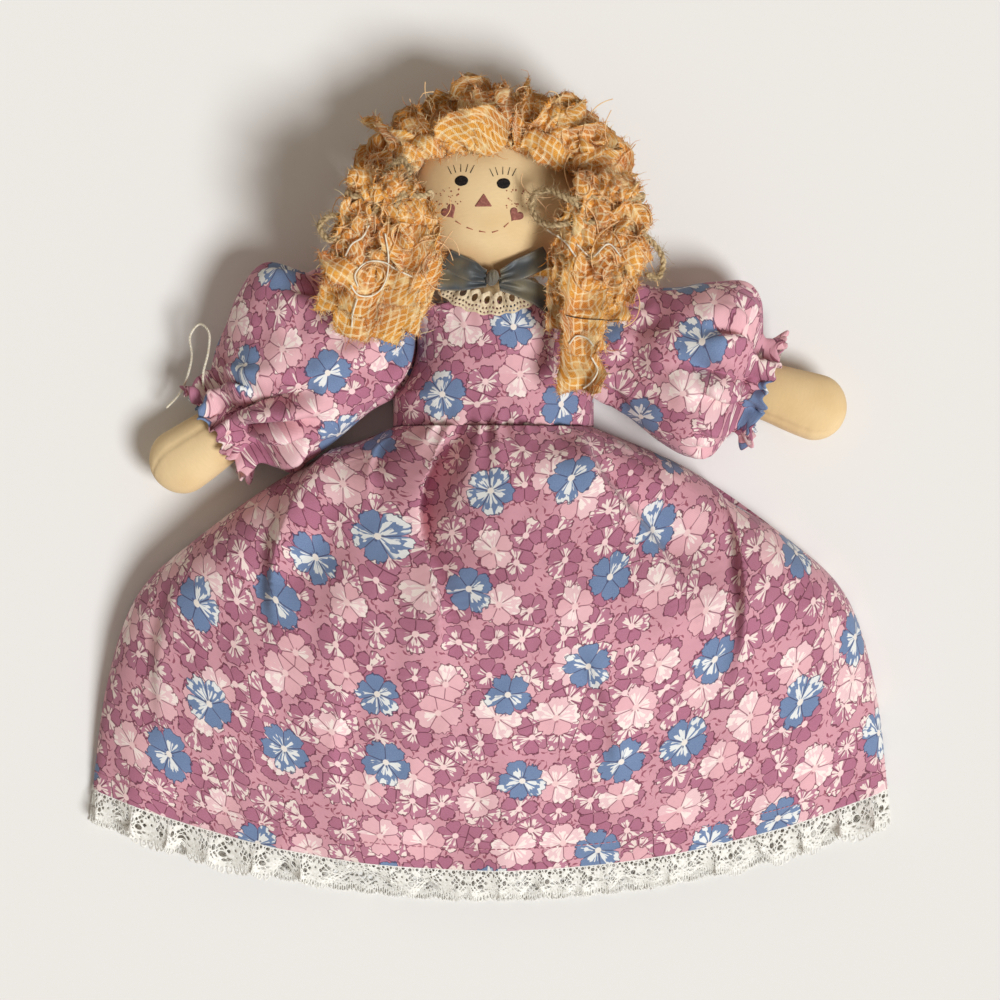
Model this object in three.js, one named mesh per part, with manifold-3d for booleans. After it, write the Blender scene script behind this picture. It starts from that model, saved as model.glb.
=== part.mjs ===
// Rag doll lying on its back: muslin head, body, arms and legs, calico dress, lace, ribbon and strip hair.
// Millimetres. +Z is the front of the doll, +Y its crown, +X its left hand side as it lies facing up.
// The origin is the centre of the flat back of the bodice.

import * as THREE from 'three';
import { mergeVertices } from 'three/addons/utils/BufferGeometryUtils.js';
import Module from 'manifold-3d';

const wasm = await Module();
wasm.setup();

// Cloth and clearances
const clearance = 0.3;
const seamGap = 0.3;
const dressCloth = 1.2;
const muslin = 0.9;
const stuffingGap = 0.4;
const trimCloth = 0.8;

// Torso
const bodyX = 1;
const torsoHalfWidth = 21;
const torsoHalfDepth = 13.5;
const torsoTopY = 13.2;
const torsoLength = 57;

// Neck
const neckRadius = 6;
const neckHeight = 18;

// Head
const headHalfWidth = 25.5;
const headHalfDepth = 17;
const headLength = 51;
const backHairThickness = 3.6;

// Bodice
const bodiceEase = 1;
const bodiceHalfWidth = 30.5;
const bodiceHeadroom = 0.4;
const waistY = -18;
const necklineRise = 36;

// Sleeves
const noseRadius = 18;
const noseGap = 0.3;
const shoulderY = 6;
const shoulderHalfDepth = 13.4;
const puffHalfDepth = 16.4;
const tableGap = 0.3;
const leftSleeveSize = { length: 50, up: 35, down: 21, turn: 213.5 };
const rightSleeveSize = { length: 43, up: 28, down: 26, turn: -18.5 };

// Arms
const armHalfWidth = 9.8;
const armHalfDepth = 7.4;
const armMiddleZ = 12;
const leftArmReach = 72.4;
const rightArmReach = 67.9;

// Skirt
const waistHalfWidth = 30;
const hemHalfWidth = 121;
const skirtSideDrop = 110;
const hemBow = 24;
const skirtCrest = 42;

// Legs
const legHalfWidth = 8.6;
const legHalfDepth = 7;
const legLength = 84;
const legSpacing = 26;

// Lace
const hemLaceWidth = 11.5;
const hemLaceEdgeZ = 7;
const hemLaceRuffle = 1.5;
const neckLaceWidth = 6.5;
const neckLaceRadius = 23.5;

// Neck ribbon
const ribbonWidth = 6.35;
const ribbonThickness = 0.8;
const knotLength = 6;
const knotDepth = 4;
const ribbonReach = 22;

// Hair
const fringeOverlap = 8.5;
const fringeSideOverlap = 2;
const fringeStand = 10.5;
const ringFloorZ = 8;
const ringTopZ = 44;
const hairGap = 0.4;
const bunchFloorGap = 0.5;
const bunchThickness = 13;
const bunchSpan = 30;
const bunchLength = 42;
const leftTieX = -31;
const rightTieX = 33.5;
const twineDiameter = 1.8;
const threadDiameter = 0.8;

// Shares
const headWidthShares = [0.25, 0.62, 0.78, 0.9, 0.98, 1, 0.99, 0.94, 0.84, 0.64, 0.3];
const torsoWidthShares = [0.55, 0.86, 0.95, 0.97, 0.98, 0.99, 1, 1, 0.96, 0.84, 0.4];
const armWidthShares = [0.4, 0.8, 0.85, 0.85, 0.85, 0.85, 0.86, 0.9, 0.97, 1, 0.42];
const legWidthShares = [0.45, 0.86, 0.98, 1, 0.98, 0.93, 0.88, 0.86, 0.92, 0.98, 0.5];

// Places worked out from the sizes above
const torsoMiddleZ = dressCloth + clearance + torsoHalfDepth;
const torsoFrontZ = torsoMiddleZ + torsoHalfDepth;
const bodiceFrontZ = torsoFrontZ + bodiceHeadroom + dressCloth;
const layerBaseZ = dressCloth + clearance;
const armholeHalf = torsoHalfWidth + bodiceEase + dressCloth + clearance;
const shoulderReach = armholeHalf + noseGap + noseRadius;
const neckY = torsoTopY + clearance + neckRadius;
const chinY = neckY + neckRadius + clearance;
const headY = chinY + headLength / 2;
const headMiddleZ = backHairThickness + clearance + headHalfDepth;
const headFrontZ = headMiddleZ + headHalfDepth;
const necklineY = waistY + necklineRise;
const ringInner = headLength / 2 - fringeOverlap;
const ringInnerSide = headHalfWidth - fringeSideOverlap;
const ringOuter = headLength / 2 + fringeStand;

// Colours
const muslinColour = 0xd9b986;
const stuffingColour = 0xf2eee4;
const calicoColour = 0xb0818c;
const laceColour = 0xeeeae2;
const satinColour = 0x77746a;
const homespunColour = 0xd9953f;
const twineColour = 0xa89878;
const threadColour = 0xe9e2cf;

const group = new THREE.Group();

function cloth(color, roughness = 0.9) {
  return new THREE.MeshStandardMaterial({ color, roughness, metalness: 0 });
}

function addPiece(name, geometry, color, roughness) {
  const mesh = new THREE.Mesh(geometry, cloth(color, roughness));
  mesh.name = name;
  group.add(mesh);
  return mesh;
}

// Signed volume of a closed triangle mesh, positive when its faces point out
function signedVolume(geometry) {
  const position = geometry.attributes.position;
  const index = geometry.index;
  const a = new THREE.Vector3();
  const b = new THREE.Vector3();
  const c = new THREE.Vector3();
  let volume = 0;
  for (let i = 0; i < index.count; i += 3) {
    a.fromBufferAttribute(position, index.getX(i));
    b.fromBufferAttribute(position, index.getX(i + 1));
    c.fromBufferAttribute(position, index.getX(i + 2));
    volume += a.dot(b.cross(c)) / 6;
  }
  return volume;
}

// Moves every vertex of a closed three.js geometry with place(point), joins the shared corners
// and turns the faces outward
function shaped(geometry, place) {
  const position = geometry.attributes.position;
  const point = new THREE.Vector3();
  for (let i = 0; i < position.count; i += 1) {
    point.fromBufferAttribute(position, i);
    place(point);
    position.setXYZ(i, point.x, point.y, point.z);
  }
  geometry.deleteAttribute('normal');
  geometry.deleteAttribute('uv');
  geometry.clearGroups();
  const joined = mergeVertices(geometry);
  if (signedVolume(joined) < 0) {
    const index = joined.index;
    for (let i = 0; i < index.count; i += 3) {
      const first = index.getX(i);
      index.setX(i, index.getX(i + 1));
      index.setX(i + 1, first);
    }
  }
  joined.computeVertexNormals();
  return joined;
}

function toManifold(geometry) {
  const vertProperties = new Float32Array(geometry.attributes.position.array);
  const triVerts = new Uint32Array(geometry.index.array);
  return new wasm.Manifold(new wasm.Mesh({ numProp: 3, vertProperties, triVerts }));
}

function fromManifold(solid) {
  const mesh = solid.getMesh();
  const geometry = new THREE.BufferGeometry();
  geometry.setAttribute('position', new THREE.BufferAttribute(new Float32Array(mesh.vertProperties), 3));
  geometry.setIndex(new THREE.BufferAttribute(new Uint32Array(mesh.triVerts), 1));
  geometry.computeVertexNormals();
  return geometry;
}

function subtract(geometry, cutter) {
  return fromManifold(toManifold(geometry).subtract(toManifold(cutter)));
}

// Value of an evenly spaced table at a share from 0 to 1
function along(table, share) {
  const place = THREE.MathUtils.clamp(share, 0, 1) * (table.length - 1);
  const low = Math.min(Math.floor(place), table.length - 2);
  return THREE.MathUtils.lerp(table[low], table[low + 1], place - low);
}

// One stuffed form over an outline: the plan runs from start towards the angle turn, and the height
// falls to the seam all round. The inset shrinks it evenly, for the inner face of the cloth or the stuffing.
function pillowPoint(form, lengthwise, crosswise, inset) {
  const share = Math.sin((lengthwise * Math.PI) / 2);
  const half = (form.halfWidth - inset) * along(form.widthShares, (share + 1) / 2);
  const reach = form.length / 2 + (form.length / 2 - inset) * share;
  const side = half * Math.sin((crosswise * Math.PI) / 2);
  const rise = Math.cos((lengthwise * Math.PI) / 2) * Math.cos((crosswise * Math.PI) / 2);
  const turn = THREE.MathUtils.degToRad(form.turn);
  return {
    x: form.x + reach * Math.cos(turn) - side * Math.sin(turn),
    y: form.y + reach * Math.sin(turn) + side * Math.cos(turn),
    rise: (form.halfDepth - inset) * rise,
  };
}

// Boxes that are shaped into panels run from -1 to 1 across
const panelSpan = 2;

// Front or back panel: a thin domed shell whose rim lies at the seam
function pillowPanel(form, facing) {
  const box = new THREE.BoxGeometry(panelSpan, panelSpan, 1, form.steps, form.crossSteps, 1);
  return shaped(box, (point) => {
    const inset = point.z * facing < 0 ? 0 : form.skin;
    const place = pillowPoint(form, point.x, point.y, inset);
    point.set(place.x, place.y, form.middleZ + facing * (seamGap / 2 + place.rise));
  });
}

// Solid form shrunk by the inset, with a short upright band at the seam
function pillowSolid(form, inset) {
  const box = new THREE.BoxGeometry(panelSpan, panelSpan, panelSpan, form.steps, form.crossSteps, 1);
  return shaped(box, (point) => {
    const facing = point.z;
    const place = pillowPoint(form, point.x, point.y, inset);
    point.set(place.x, place.y, form.middleZ + facing * (seamGap / 2 + place.rise));
  });
}

function addPillow(name, form) {
  addPiece(`${name}_front_panel`, pillowPanel(form, 1), muslinColour);
  addPiece(`${name}_back_panel`, pillowPanel(form, -1), muslinColour);
  addPiece(`${name}_stuffing`, pillowSolid(form, form.skin + stuffingGap), stuffingColour);
}

// Head
const headForm = {
  x: bodyX,
  y: chinY,
  turn: 90,
  length: headLength,
  halfWidth: headHalfWidth,
  halfDepth: headHalfDepth - seamGap / 2,
  middleZ: headMiddleZ,
  widthShares: headWidthShares,
  skin: muslin,
  steps: 12,
  crossSteps: 10,
};
addPillow('head', headForm);

// Neck
const neckMiddleZ = (headMiddleZ + torsoMiddleZ) / 2;
const neckGeometry = new THREE.CylinderGeometry(neckRadius, neckRadius, neckHeight, 18);
neckGeometry.rotateX(Math.PI / 2);
neckGeometry.translate(bodyX, neckY, neckMiddleZ);
addPiece('neck', shaped(neckGeometry, () => {}), muslinColour);

// Torso
const torsoForm = {
  x: bodyX,
  y: torsoTopY - torsoLength,
  turn: 90,
  length: torsoLength,
  halfWidth: torsoHalfWidth,
  halfDepth: torsoHalfDepth - seamGap / 2,
  middleZ: torsoMiddleZ,
  widthShares: torsoWidthShares,
  skin: muslin,
  steps: 8,
  crossSteps: 8,
};
addPillow('torso', torsoForm);

// Bodice, cut back at each armhole to the round inner end of the sleeve
function bodiceHalfAt(y) {
  const rise = y - shoulderY;
  const reach = noseRadius + noseGap;
  if (Math.abs(rise) >= reach) {
    return bodiceHalfWidth;
  }
  const armhole = shoulderReach - Math.sqrt(reach * reach - rise * rise);
  return Math.min(bodiceHalfWidth, armhole);
}

const bodiceRows = 10;
const bodiceColumns = 10;
const bodiceRoundness = 0.6;

function bodiceFrontPoint(crosswise, upShare, inset) {
  const y = waistY + clearance + (necklineRise - clearance) * upShare;
  const half = bodiceHalfAt(y) - inset;
  const round = Math.max(Math.cos((crosswise * Math.PI) / 2), 0) ** bodiceRoundness;
  return {
    x: bodyX + half * Math.sin((crosswise * Math.PI) / 2),
    y,
    z: layerBaseZ + (bodiceFrontZ - layerBaseZ - inset) * round,
  };
}

const bodiceBox = new THREE.BoxGeometry(panelSpan, 1, 1, bodiceColumns, bodiceRows, 1);
const bodiceFront = shaped(bodiceBox, (point) => {
  const inset = point.z > 0 ? 0 : dressCloth;
  const place = bodiceFrontPoint(point.x, point.y + 0.5, inset);
  point.set(place.x, place.y, place.z);
});
addPiece('bodice_front', bodiceFront, calicoColour);

const bodiceBackOutline = new THREE.Shape();
const bodiceBackPoints = [];
for (let i = 0; i <= bodiceRows; i += 1) {
  const y = waistY + clearance + ((necklineRise - clearance) * i) / bodiceRows;
  bodiceBackPoints.push([bodiceHalfAt(y), y]);
}
bodiceBackPoints.forEach(([half, y]) => {
  bodiceBackOutline.lineTo(bodyX + half, y);
});
bodiceBackPoints.reverse().forEach(([half, y]) => {
  bodiceBackOutline.lineTo(bodyX - half, y);
});
bodiceBackOutline.curves.shift();
const bodiceBack = new THREE.ExtrudeGeometry(bodiceBackOutline, { depth: dressCloth, bevelEnabled: false });
addPiece('bodice_back', shaped(bodiceBack, () => {}), calicoColour);

// Sleeves: a round inner end about the shoulder, a puff, a gathered neck and a frill.
// Each row is a share of the length, of the upper and lower puff widths and of the puff depth.
// The swell share is how far the round end bulges on its upper side.
const noseAngles = [15, 40, 65, 90];
const leftSleeve = {
  ...leftSleeveSize,
  side: -1,
  swellShare: 0.4,
  rowShares: [
    [0.18, 1, 0.9, 0.96],
    [0.42, 0.9, 0.97, 1],
    [0.6, 0.7, 1, 0.98],
    [0.74, 0.53, 0.92, 0.86],
    [0.84, 0.37, 0.55, 0.6],
    [0.91, 0.37, 0.55, 0.6],
    [1, 0.44, 0.66, 0.68],
  ],
};
const rightSleeve = {
  ...rightSleeveSize,
  side: 1,
  swellShare: 0,
  rowShares: [
    [0.2, 0.76, 0.82, 0.94],
    [0.42, 0.92, 0.95, 1],
    [0.62, 1, 1, 0.98],
    [0.76, 0.84, 0.9, 0.86],
    [0.85, 0.46, 0.5, 0.6],
    [0.91, 0.46, 0.5, 0.6],
    [1, 0.56, 0.62, 0.68],
  ],
};
const frillStart = 0.9;
const frillWaves = 9;
const frillDepthShare = 0.05;
const sleeveSides = 20;

function sleeveStations(sleeve) {
  const stations = noseAngles.map((degrees) => {
    const angle = THREE.MathUtils.degToRad(degrees);
    return {
      reach: -noseRadius * Math.cos(angle),
      up: noseRadius * Math.sin(angle) * (1 + sleeve.swellShare * Math.sin(angle)),
      down: noseRadius * Math.sin(angle),
      half: shoulderHalfDepth * Math.sqrt(Math.sin(angle)),
      wave: 0,
    };
  });
  sleeve.rowShares.forEach(([lengthShare, upShare, downShare, depthShare]) => {
    stations.push({
      reach: lengthShare * sleeve.length,
      up: upShare * sleeve.up,
      down: downShare * sleeve.down,
      half: depthShare * puffHalfDepth,
      wave: lengthShare > frillStart ? frillDepthShare : 0,
    });
  });
  return stations;
}

function sleeveSolid(sleeve, inset) {
  const { side } = sleeve;
  const stations = sleeveStations(sleeve);
  const last = stations.length - 1;
  const tube = new THREE.CylinderGeometry(1, 1, 1, sleeveSides, last);
  const turn = THREE.MathUtils.degToRad(sleeve.turn);
  const originX = bodyX + side * shoulderReach;
  return shaped(tube, (point) => {
    const row = Math.round((point.y + 0.5) * last);
    const station = stations[row];
    const ring = Math.hypot(point.x, point.z);
    const angle = Math.atan2(point.z, point.x);
    const wave = 1 + station.wave * Math.cos(frillWaves * angle);
    const sideways = Math.cos(angle) * ring * wave;
    const towardsCrown = sideways > 0 ? station.up : station.down;
    const across = sideways * (towardsCrown - inset);
    const rise = Math.sin(angle) * ring * wave * (station.half - inset);
    const seat = Math.max(station.half * (1 + station.wave), armMiddleZ);
    let reach = station.reach;
    if (inset > 0 && row === 0) {
      reach += inset;
    }
    if (inset > 0 && row === last) {
      reach += inset;
    }
    const crownX = -side * Math.sin(turn);
    const crownY = side * Math.cos(turn);
    point.set(
      originX + reach * Math.cos(turn) + across * crownX,
      shoulderY + reach * Math.sin(turn) + across * crownY,
      tableGap + seat + rise,
    );
  });
}

addPiece('left_sleeve', subtract(sleeveSolid(leftSleeve, 0), sleeveSolid(leftSleeve, dressCloth)), calicoColour);
addPiece('right_sleeve', subtract(sleeveSolid(rightSleeve, 0), sleeveSolid(rightSleeve, dressCloth)), calicoColour);

// Arms
const armStart = noseRadius * Math.cos(THREE.MathUtils.degToRad(noseAngles[0])) - dressCloth - stuffingGap;

function arm(name, sleeve, reach) {
  const angle = THREE.MathUtils.degToRad(sleeve.turn);
  addPillow(name, {
    x: bodyX + sleeve.side * shoulderReach - armStart * Math.cos(angle),
    y: shoulderY - armStart * Math.sin(angle),
    turn: sleeve.turn,
    length: armStart + reach,
    halfWidth: armHalfWidth,
    halfDepth: armHalfDepth,
    middleZ: armMiddleZ,
    widthShares: armWidthShares,
    skin: muslin,
    steps: 8,
    crossSteps: 6,
  });
}
arm('left_arm', leftSleeve, leftArmReach);
arm('right_arm', rightSleeve, rightArmReach);

// Skirt: rows from waist to hem, each a share of the way out to the hem width and down the side
const skirtEdgeShares = [
  [0, 0],
  [0.33, 0.12],
  [0.66, 0.31],
  [0.857, 0.47],
  [0.956, 0.72],
  [1, 1],
];
const skirtCrestShares = [0.715, 0.86, 1, 0.94, 0.68, 0.28];
// Soft hollows and swells: place across, place down, width across, width down, height share
const foldShares = [
  [-0.18, 0.16, 0.07, 0.2, -0.16],
  [0.42, 0.4, 0.14, 0.16, -0.14],
  [-0.42, 0.42, 0.12, 0.16, -0.12],
  [0.08, 0.55, 0.22, 0.3, 0.06],
];
const skirtColumns = 22;
const skirtRows = 11;
const waistRoundness = 0.6;
const hemRoundness = 0.85;
const waistBlendShare = 0.2;
const skirtTopY = waistY - clearance;
const edgeCurve = new THREE.SplineCurve(skirtEdgeShares.map(([out, down]) => new THREE.Vector2(out, down)));

function skirtPlan(crosswise, downShare, inset) {
  const edge = edgeCurve.getPoint(downShare);
  const half = waistHalfWidth + (hemHalfWidth - waistHalfWidth) * edge.x - inset;
  return {
    x: bodyX - bodyX * downShare + half * Math.sin((crosswise * Math.PI) / 2),
    y: skirtTopY - skirtSideDrop * edge.y - hemBow * downShare * Math.cos((crosswise * Math.PI) / 2) ** 2,
  };
}

function skirtFold(crosswise, downShare) {
  let fold = 1;
  foldShares.forEach(([across, down, wide, tall, height]) => {
    const away = ((crosswise - across) / wide) ** 2 + ((downShare - down) / tall) ** 2;
    fold += height * Math.exp(-away);
  });
  return fold;
}

function skirtRise(crosswise, downShare, inset) {
  const roundness = THREE.MathUtils.lerp(waistRoundness, hemRoundness, downShare);
  const round = Math.max(Math.cos((crosswise * Math.PI) / 2), 0) ** roundness;
  const crest = skirtCrest * along(skirtCrestShares, downShare) * skirtFold(crosswise, downShare);
  const waistCrest = (bodiceFrontZ - layerBaseZ) * (1 - Math.min(downShare / waistBlendShare, 1));
  return (Math.max(crest, waistCrest) - inset) * round;
}

const skirtBox = new THREE.BoxGeometry(panelSpan, 1, 1, skirtColumns, skirtRows, 1);
const skirtFront = shaped(skirtBox, (point) => {
  const inset = point.z > 0 ? 0 : dressCloth;
  const down = 0.5 - point.y;
  const plan = skirtPlan(point.x, down, inset);
  point.set(plan.x, plan.y, layerBaseZ + skirtRise(point.x, down, inset));
});
addPiece('skirt_front_panel', skirtFront, calicoColour);

const skirtBackPoints = [];
for (let i = 0; i <= skirtRows; i += 1) {
  skirtBackPoints.push(skirtPlan(-1, i / skirtRows, 0));
}
for (let i = 1; i < skirtColumns; i += 1) {
  skirtBackPoints.push(skirtPlan((2 * i) / skirtColumns - 1, 1, 0));
}
for (let i = skirtRows; i >= 0; i -= 1) {
  skirtBackPoints.push(skirtPlan(1, i / skirtRows, 0));
}
const skirtBackOutline = new THREE.Shape(skirtBackPoints.map((place) => new THREE.Vector2(place.x, place.y)));
const skirtBack = new THREE.ExtrudeGeometry(skirtBackOutline, { depth: dressCloth, bevelEnabled: false });
addPiece('skirt_back_panel', shaped(skirtBack, () => {}), calicoColour);

// Hem lace, gathered along the hem and spread outward from it
const laceSteps = 54;
const laceWaves = 17;
const hemStepBack = 0.02;
const backLaceLift = 0.2;

function hemLacePlan(crosswise, outward) {
  const edge = skirtPlan(crosswise, 1, 0);
  const behind = skirtPlan(crosswise, 1 - hemStepBack, 0);
  const away = new THREE.Vector2(edge.x - behind.x, edge.y - behind.y).normalize();
  const reach = clearance + outward * hemLaceWidth;
  return { x: edge.x + away.x * reach, y: edge.y + away.y * reach };
}

function hemLaceFrontZ(crosswise, outward) {
  const hemZ = layerBaseZ + skirtRise(crosswise, 1, trimCloth);
  const edgeZ = Math.min(hemZ, hemLaceEdgeZ);
  const ruffle = hemLaceRuffle * (1 + Math.sin(crosswise * laceWaves * Math.PI)) / 2;
  return THREE.MathUtils.lerp(hemZ, edgeZ, outward) + ruffle * outward;
}

const laceFrontBox = new THREE.BoxGeometry(panelSpan, 1, 1, laceSteps, 2, 1);
const laceFront = shaped(laceFrontBox, (point) => {
  const outward = 0.5 - point.y;
  const plan = hemLacePlan(point.x, outward);
  const top = point.z > 0 ? trimCloth : 0;
  point.set(plan.x, plan.y, hemLaceFrontZ(point.x, outward) + top);
});
addPiece('hem_lace_front', laceFront, laceColour);

const laceBackBox = new THREE.BoxGeometry(panelSpan, 1, 1, skirtColumns, 1, 1);
const laceBack = shaped(laceBackBox, (point) => {
  const plan = hemLacePlan(point.x, 0.5 - point.y);
  point.set(plan.x, plan.y, backLaceLift + (point.z > 0 ? trimCloth : 0));
});
addPiece('hem_lace_back', laceBack, laceColour);

// Legs, hung from the lower edge of the torso inside the skirt
const hipY = torsoTopY - torsoLength - clearance - legHalfWidth;
const legMiddleZ = dressCloth + clearance + legHalfDepth + seamGap;

function leg(name, side) {
  addPillow(name, {
    x: bodyX + (side * legSpacing) / 2,
    y: hipY + legHalfWidth,
    turn: -90,
    length: legLength,
    halfWidth: legHalfWidth,
    halfDepth: legHalfDepth,
    middleZ: legMiddleZ,
    widthShares: legWidthShares,
    skin: muslin,
    steps: 6,
    crossSteps: 4,
  });
}
leg('left_leg', -1);
leg('right_leg', 1);

// Neck lace on the bodice, a crescent below the ribbon
const neckLaceSteps = 14;
const neckLaceFromAngle = 226;
const neckLaceToAngle = 314;
const neckLaceY = necklineY - clearance + neckLaceRadius;

const neckLaceBox = new THREE.BoxGeometry(1, 1, 1, neckLaceSteps, 1, 1);
const neckLace = shaped(neckLaceBox, (point) => {
  const degrees = THREE.MathUtils.lerp(neckLaceFromAngle, neckLaceToAngle, point.x + 0.5);
  const angle = THREE.MathUtils.degToRad(degrees);
  const radius = neckLaceRadius - neckLaceWidth * (0.5 - point.y);
  const x = bodyX + radius * Math.cos(angle);
  const y = neckLaceY - neckLaceWidth / 2 + radius * Math.sin(angle);
  const top = point.z > 0 ? trimCloth : 0;
  point.set(x, y, bodiceFrontZ + clearance + top);
});
addPiece('neck_lace', neckLace, laceColour);

// Neck ribbon: knot, two bands round the neck and two tails, each a flat strip along a curve
const ribbonZ = bodiceFrontZ + clearance + trimCloth + clearance;
const knotY = neckY + neckRadius;

function strip(points, acrossTurns, width, thickness, steps) {
  const curve = new THREE.CatmullRomCurve3(points.map(([x, y, z]) => new THREE.Vector3(x, y, z)));
  const box = new THREE.BoxGeometry(1, 1, 1, steps, 1, 1);
  return shaped(box, (point) => {
    const share = point.x + 0.5;
    const place = curve.getPoint(share);
    const turn = THREE.MathUtils.degToRad(along(acrossTurns, share));
    const across = point.y * width;
    point.set(
      place.x + across * Math.cos(turn),
      place.y + across * Math.sin(turn),
      place.z + (point.z + 0.5) * thickness,
    );
  });
}

const knot = new THREE.SphereGeometry(1, 10, 6);
knot.scale(knotLength / 2, ribbonWidth / 2, knotDepth / 2);
knot.translate(bodyX - clearance, knotY, ribbonZ + knotDepth / 2);
addPiece('ribbon_knot', shaped(knot, () => {}), satinColour, 0.4);

// Places as shares of the ribbon reach from the knot, with the direction across the ribbon in degrees
const ribbonStripShares = {
  ribbon_band_left: { route: [[-0.17, 0.02, 0.06], [-0.36, 0.13, 0.03], [-0.54, 0.27, -0.02]], across: [80, 60, 50] },
  ribbon_band_right: { route: [[0.15, 0.02, 0.06], [0.44, 0.14, 0.05], [0.7, 0.32, 0.02]], across: [100, 112, 125] },
  ribbon_tail_left: { route: [[-0.19, -0.1, -0.03], [-0.5, -0.12, -0.03], [-0.95, -0.1, -0.03]], across: [80, 85, 95] },
  ribbon_tail_right: { route: [[0.17, -0.1, -0.03], [0.55, -0.14, -0.03], [1, -0.5, -0.03]], across: [95, 70, 45] },
};

Object.entries(ribbonStripShares).forEach(([name, { route, across }]) => {
  const points = route.map(([x, y, z]) => [
    bodyX + x * ribbonReach,
    knotY + y * ribbonReach,
    ribbonZ + knotDepth / 4 + z * ribbonReach,
  ]);
  addPiece(name, strip(points, across, ribbonWidth, ribbonThickness, 5), satinColour, 0.4);
});

// Fringe: torn strips gathered round the crown, each a sector with its own height and reach
const fringeFromAngle = 8;
const fringeToAngle = 180 - fringeFromAngle;
const fringeReachShares = [1.24, 1.12, 1.02, 0.98, 1.03, 0.97, 1.02, 1.1, 1.2];
const fringeTopShares = [0.95, 0.98, 1, 0.94, 1, 0.96, 0.99, 0.93, 0.96];
const ringDropShare = 0.06;
const fringeRoundShare = 0.08;
const fringeEdgeShare = 0.17;
const ringY = headY - headLength * ringDropShare;
const headClearance = pillowSolid(headForm, -hairGap);

function fringeStrip(number) {
  const step = (fringeToAngle - fringeFromAngle) / fringeReachShares.length;
  const from = fringeFromAngle + number * step;
  const box = new THREE.BoxGeometry(1, 1, 1, 2, 3, 1);
  const raw = shaped(box, (point) => {
    const middle = from + step / 2;
    const centreAngle = THREE.MathUtils.degToRad(middle + point.x * step);
    const sideness = Math.abs(Math.cos(THREE.MathUtils.degToRad(middle)));
    const inner = THREE.MathUtils.lerp(ringInner, ringInnerSide, sideness ** 2);
    const outer = ringOuter * fringeReachShares[number];
    const bulge = 1 - (2 * point.x) ** 2;
    const outward = point.y + 0.5;
    const radius = THREE.MathUtils.lerp(inner, outer * (1 - fringeRoundShare * (1 - bulge)), outward);
    const gapTurn = (-Math.sign(point.x) * hairGap) / 2 / radius;
    const angle = centreAngle + gapTurn;
    const crown = Math.sin(Math.PI * THREE.MathUtils.lerp(fringeEdgeShare, 1 - fringeEdgeShare, outward));
    const rise = crown * (1 - fringeRoundShare * (1 - bulge));
    const top = ringFloorZ + (ringTopZ * fringeTopShares[number] - ringFloorZ) * rise;
    point.set(
      bodyX + radius * Math.cos(angle),
      ringY + radius * Math.sin(angle),
      point.z > 0 ? top : ringFloorZ,
    );
  });
  return subtract(raw, headClearance);
}
for (let i = 0; i < fringeReachShares.length; i += 1) {
  addPiece(`fringe_strip_${i + 1}`, fringeStrip(i), homespunColour);
}

// Hair strips under the back of the head
const backHairCount = 3;
const backHairSpanShare = 0.86;
const backHairLengthShare = 0.92;
const backHairTaperShare = 0.15;
const backHairHalfSpan = headHalfWidth * backHairSpanShare;
const backHairLength = headLength * backHairLengthShare;
const backHairPitch = (2 * backHairHalfSpan) / backHairCount;
for (let i = 0; i < backHairCount; i += 1) {
  const box = new THREE.BoxGeometry(1, 1, 1, 2, 4, 1);
  const strand = shaped(box, (point) => {
    const end = 1 - (2 * point.y) ** 4;
    const pitchMiddle = (i - (backHairCount - 1) / 2) * backHairPitch;
    const width = backHairPitch - hairGap;
    const taper = 1 - backHairTaperShare * (1 - end);
    const height = point.z > 0 ? backHairThickness * taper : 0;
    point.set(
      bodyX + pitchMiddle + point.x * width * taper,
      headY + point.y * backHairLength,
      height,
    );
  });
  addPiece(`back_hair_${i + 1}`, strand, homespunColour);
}

// Bunches: strips between neighbouring ribs, which fan out and down from the tie.
// Rib places are shares of the bunch span and length: at the tie, half way and at the torn end.
const ringMiddle = (ringInnerSide + ringOuter) / 2;
const tieY = ringY + ringMiddle * Math.sin(THREE.MathUtils.degToRad(fringeFromAngle)) - 2 * hairGap;
const bunchFloorZ = headFrontZ - seamGap / 2 - 2 * clearance - bunchFloorGap;
const leftRibShares = [
  [[-0.23, 0], [-0.5, -0.31], [-0.63, -0.69]],
  [[-0.13, 0], [-0.3, -0.36], [-0.47, -1]],
  [[0, 0], [0, -0.43], [-0.17, -1.04]],
  [[0.13, 0], [0.37, -0.31], [0.17, -0.98]],
  [[0.27, -0.02], [0.66, -0.27], [0.5, -0.81]],
];
const rightRibShares = [
  [[-0.23, -0.02], [-0.57, -0.36], [-0.55, -0.98]],
  [[-0.11, 0], [-0.33, -0.4], [-0.43, -1.36]],
  [[0.02, 0], [0, -0.45], [0, -1.3]],
  [[0.14, 0], [0.22, -0.4], [0.19, -1]],
  [[0.26, -0.02], [0.42, -0.38], [0.32, -0.98]],
];
const bunchTopShares = [0.86, 1, 0.93, 0.88];
const tieShare = 0.1;
const pinchShare = 0.16;
const pinchReachShare = 0.6;
const tornShare = 0.22;
const stripRoundShare = 0.14;
const tieSquareness = 0.25;
const roundOff = 1e-6;

function ribPoint(rib, share, tieX) {
  const [top, middle, end] = rib;
  const rest = 1 - share;
  const bend = [2 * middle[0] - (top[0] + end[0]) / 2, 2 * middle[1] - (top[1] + end[1]) / 2];
  const x = rest * rest * top[0] + 2 * rest * share * bend[0] + share * share * end[0];
  const y = rest * rest * top[1] + 2 * rest * share * bend[1] + share * share * end[1];
  return new THREE.Vector2(tieX + x * bunchSpan, tieY + y * bunchLength);
}

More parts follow.
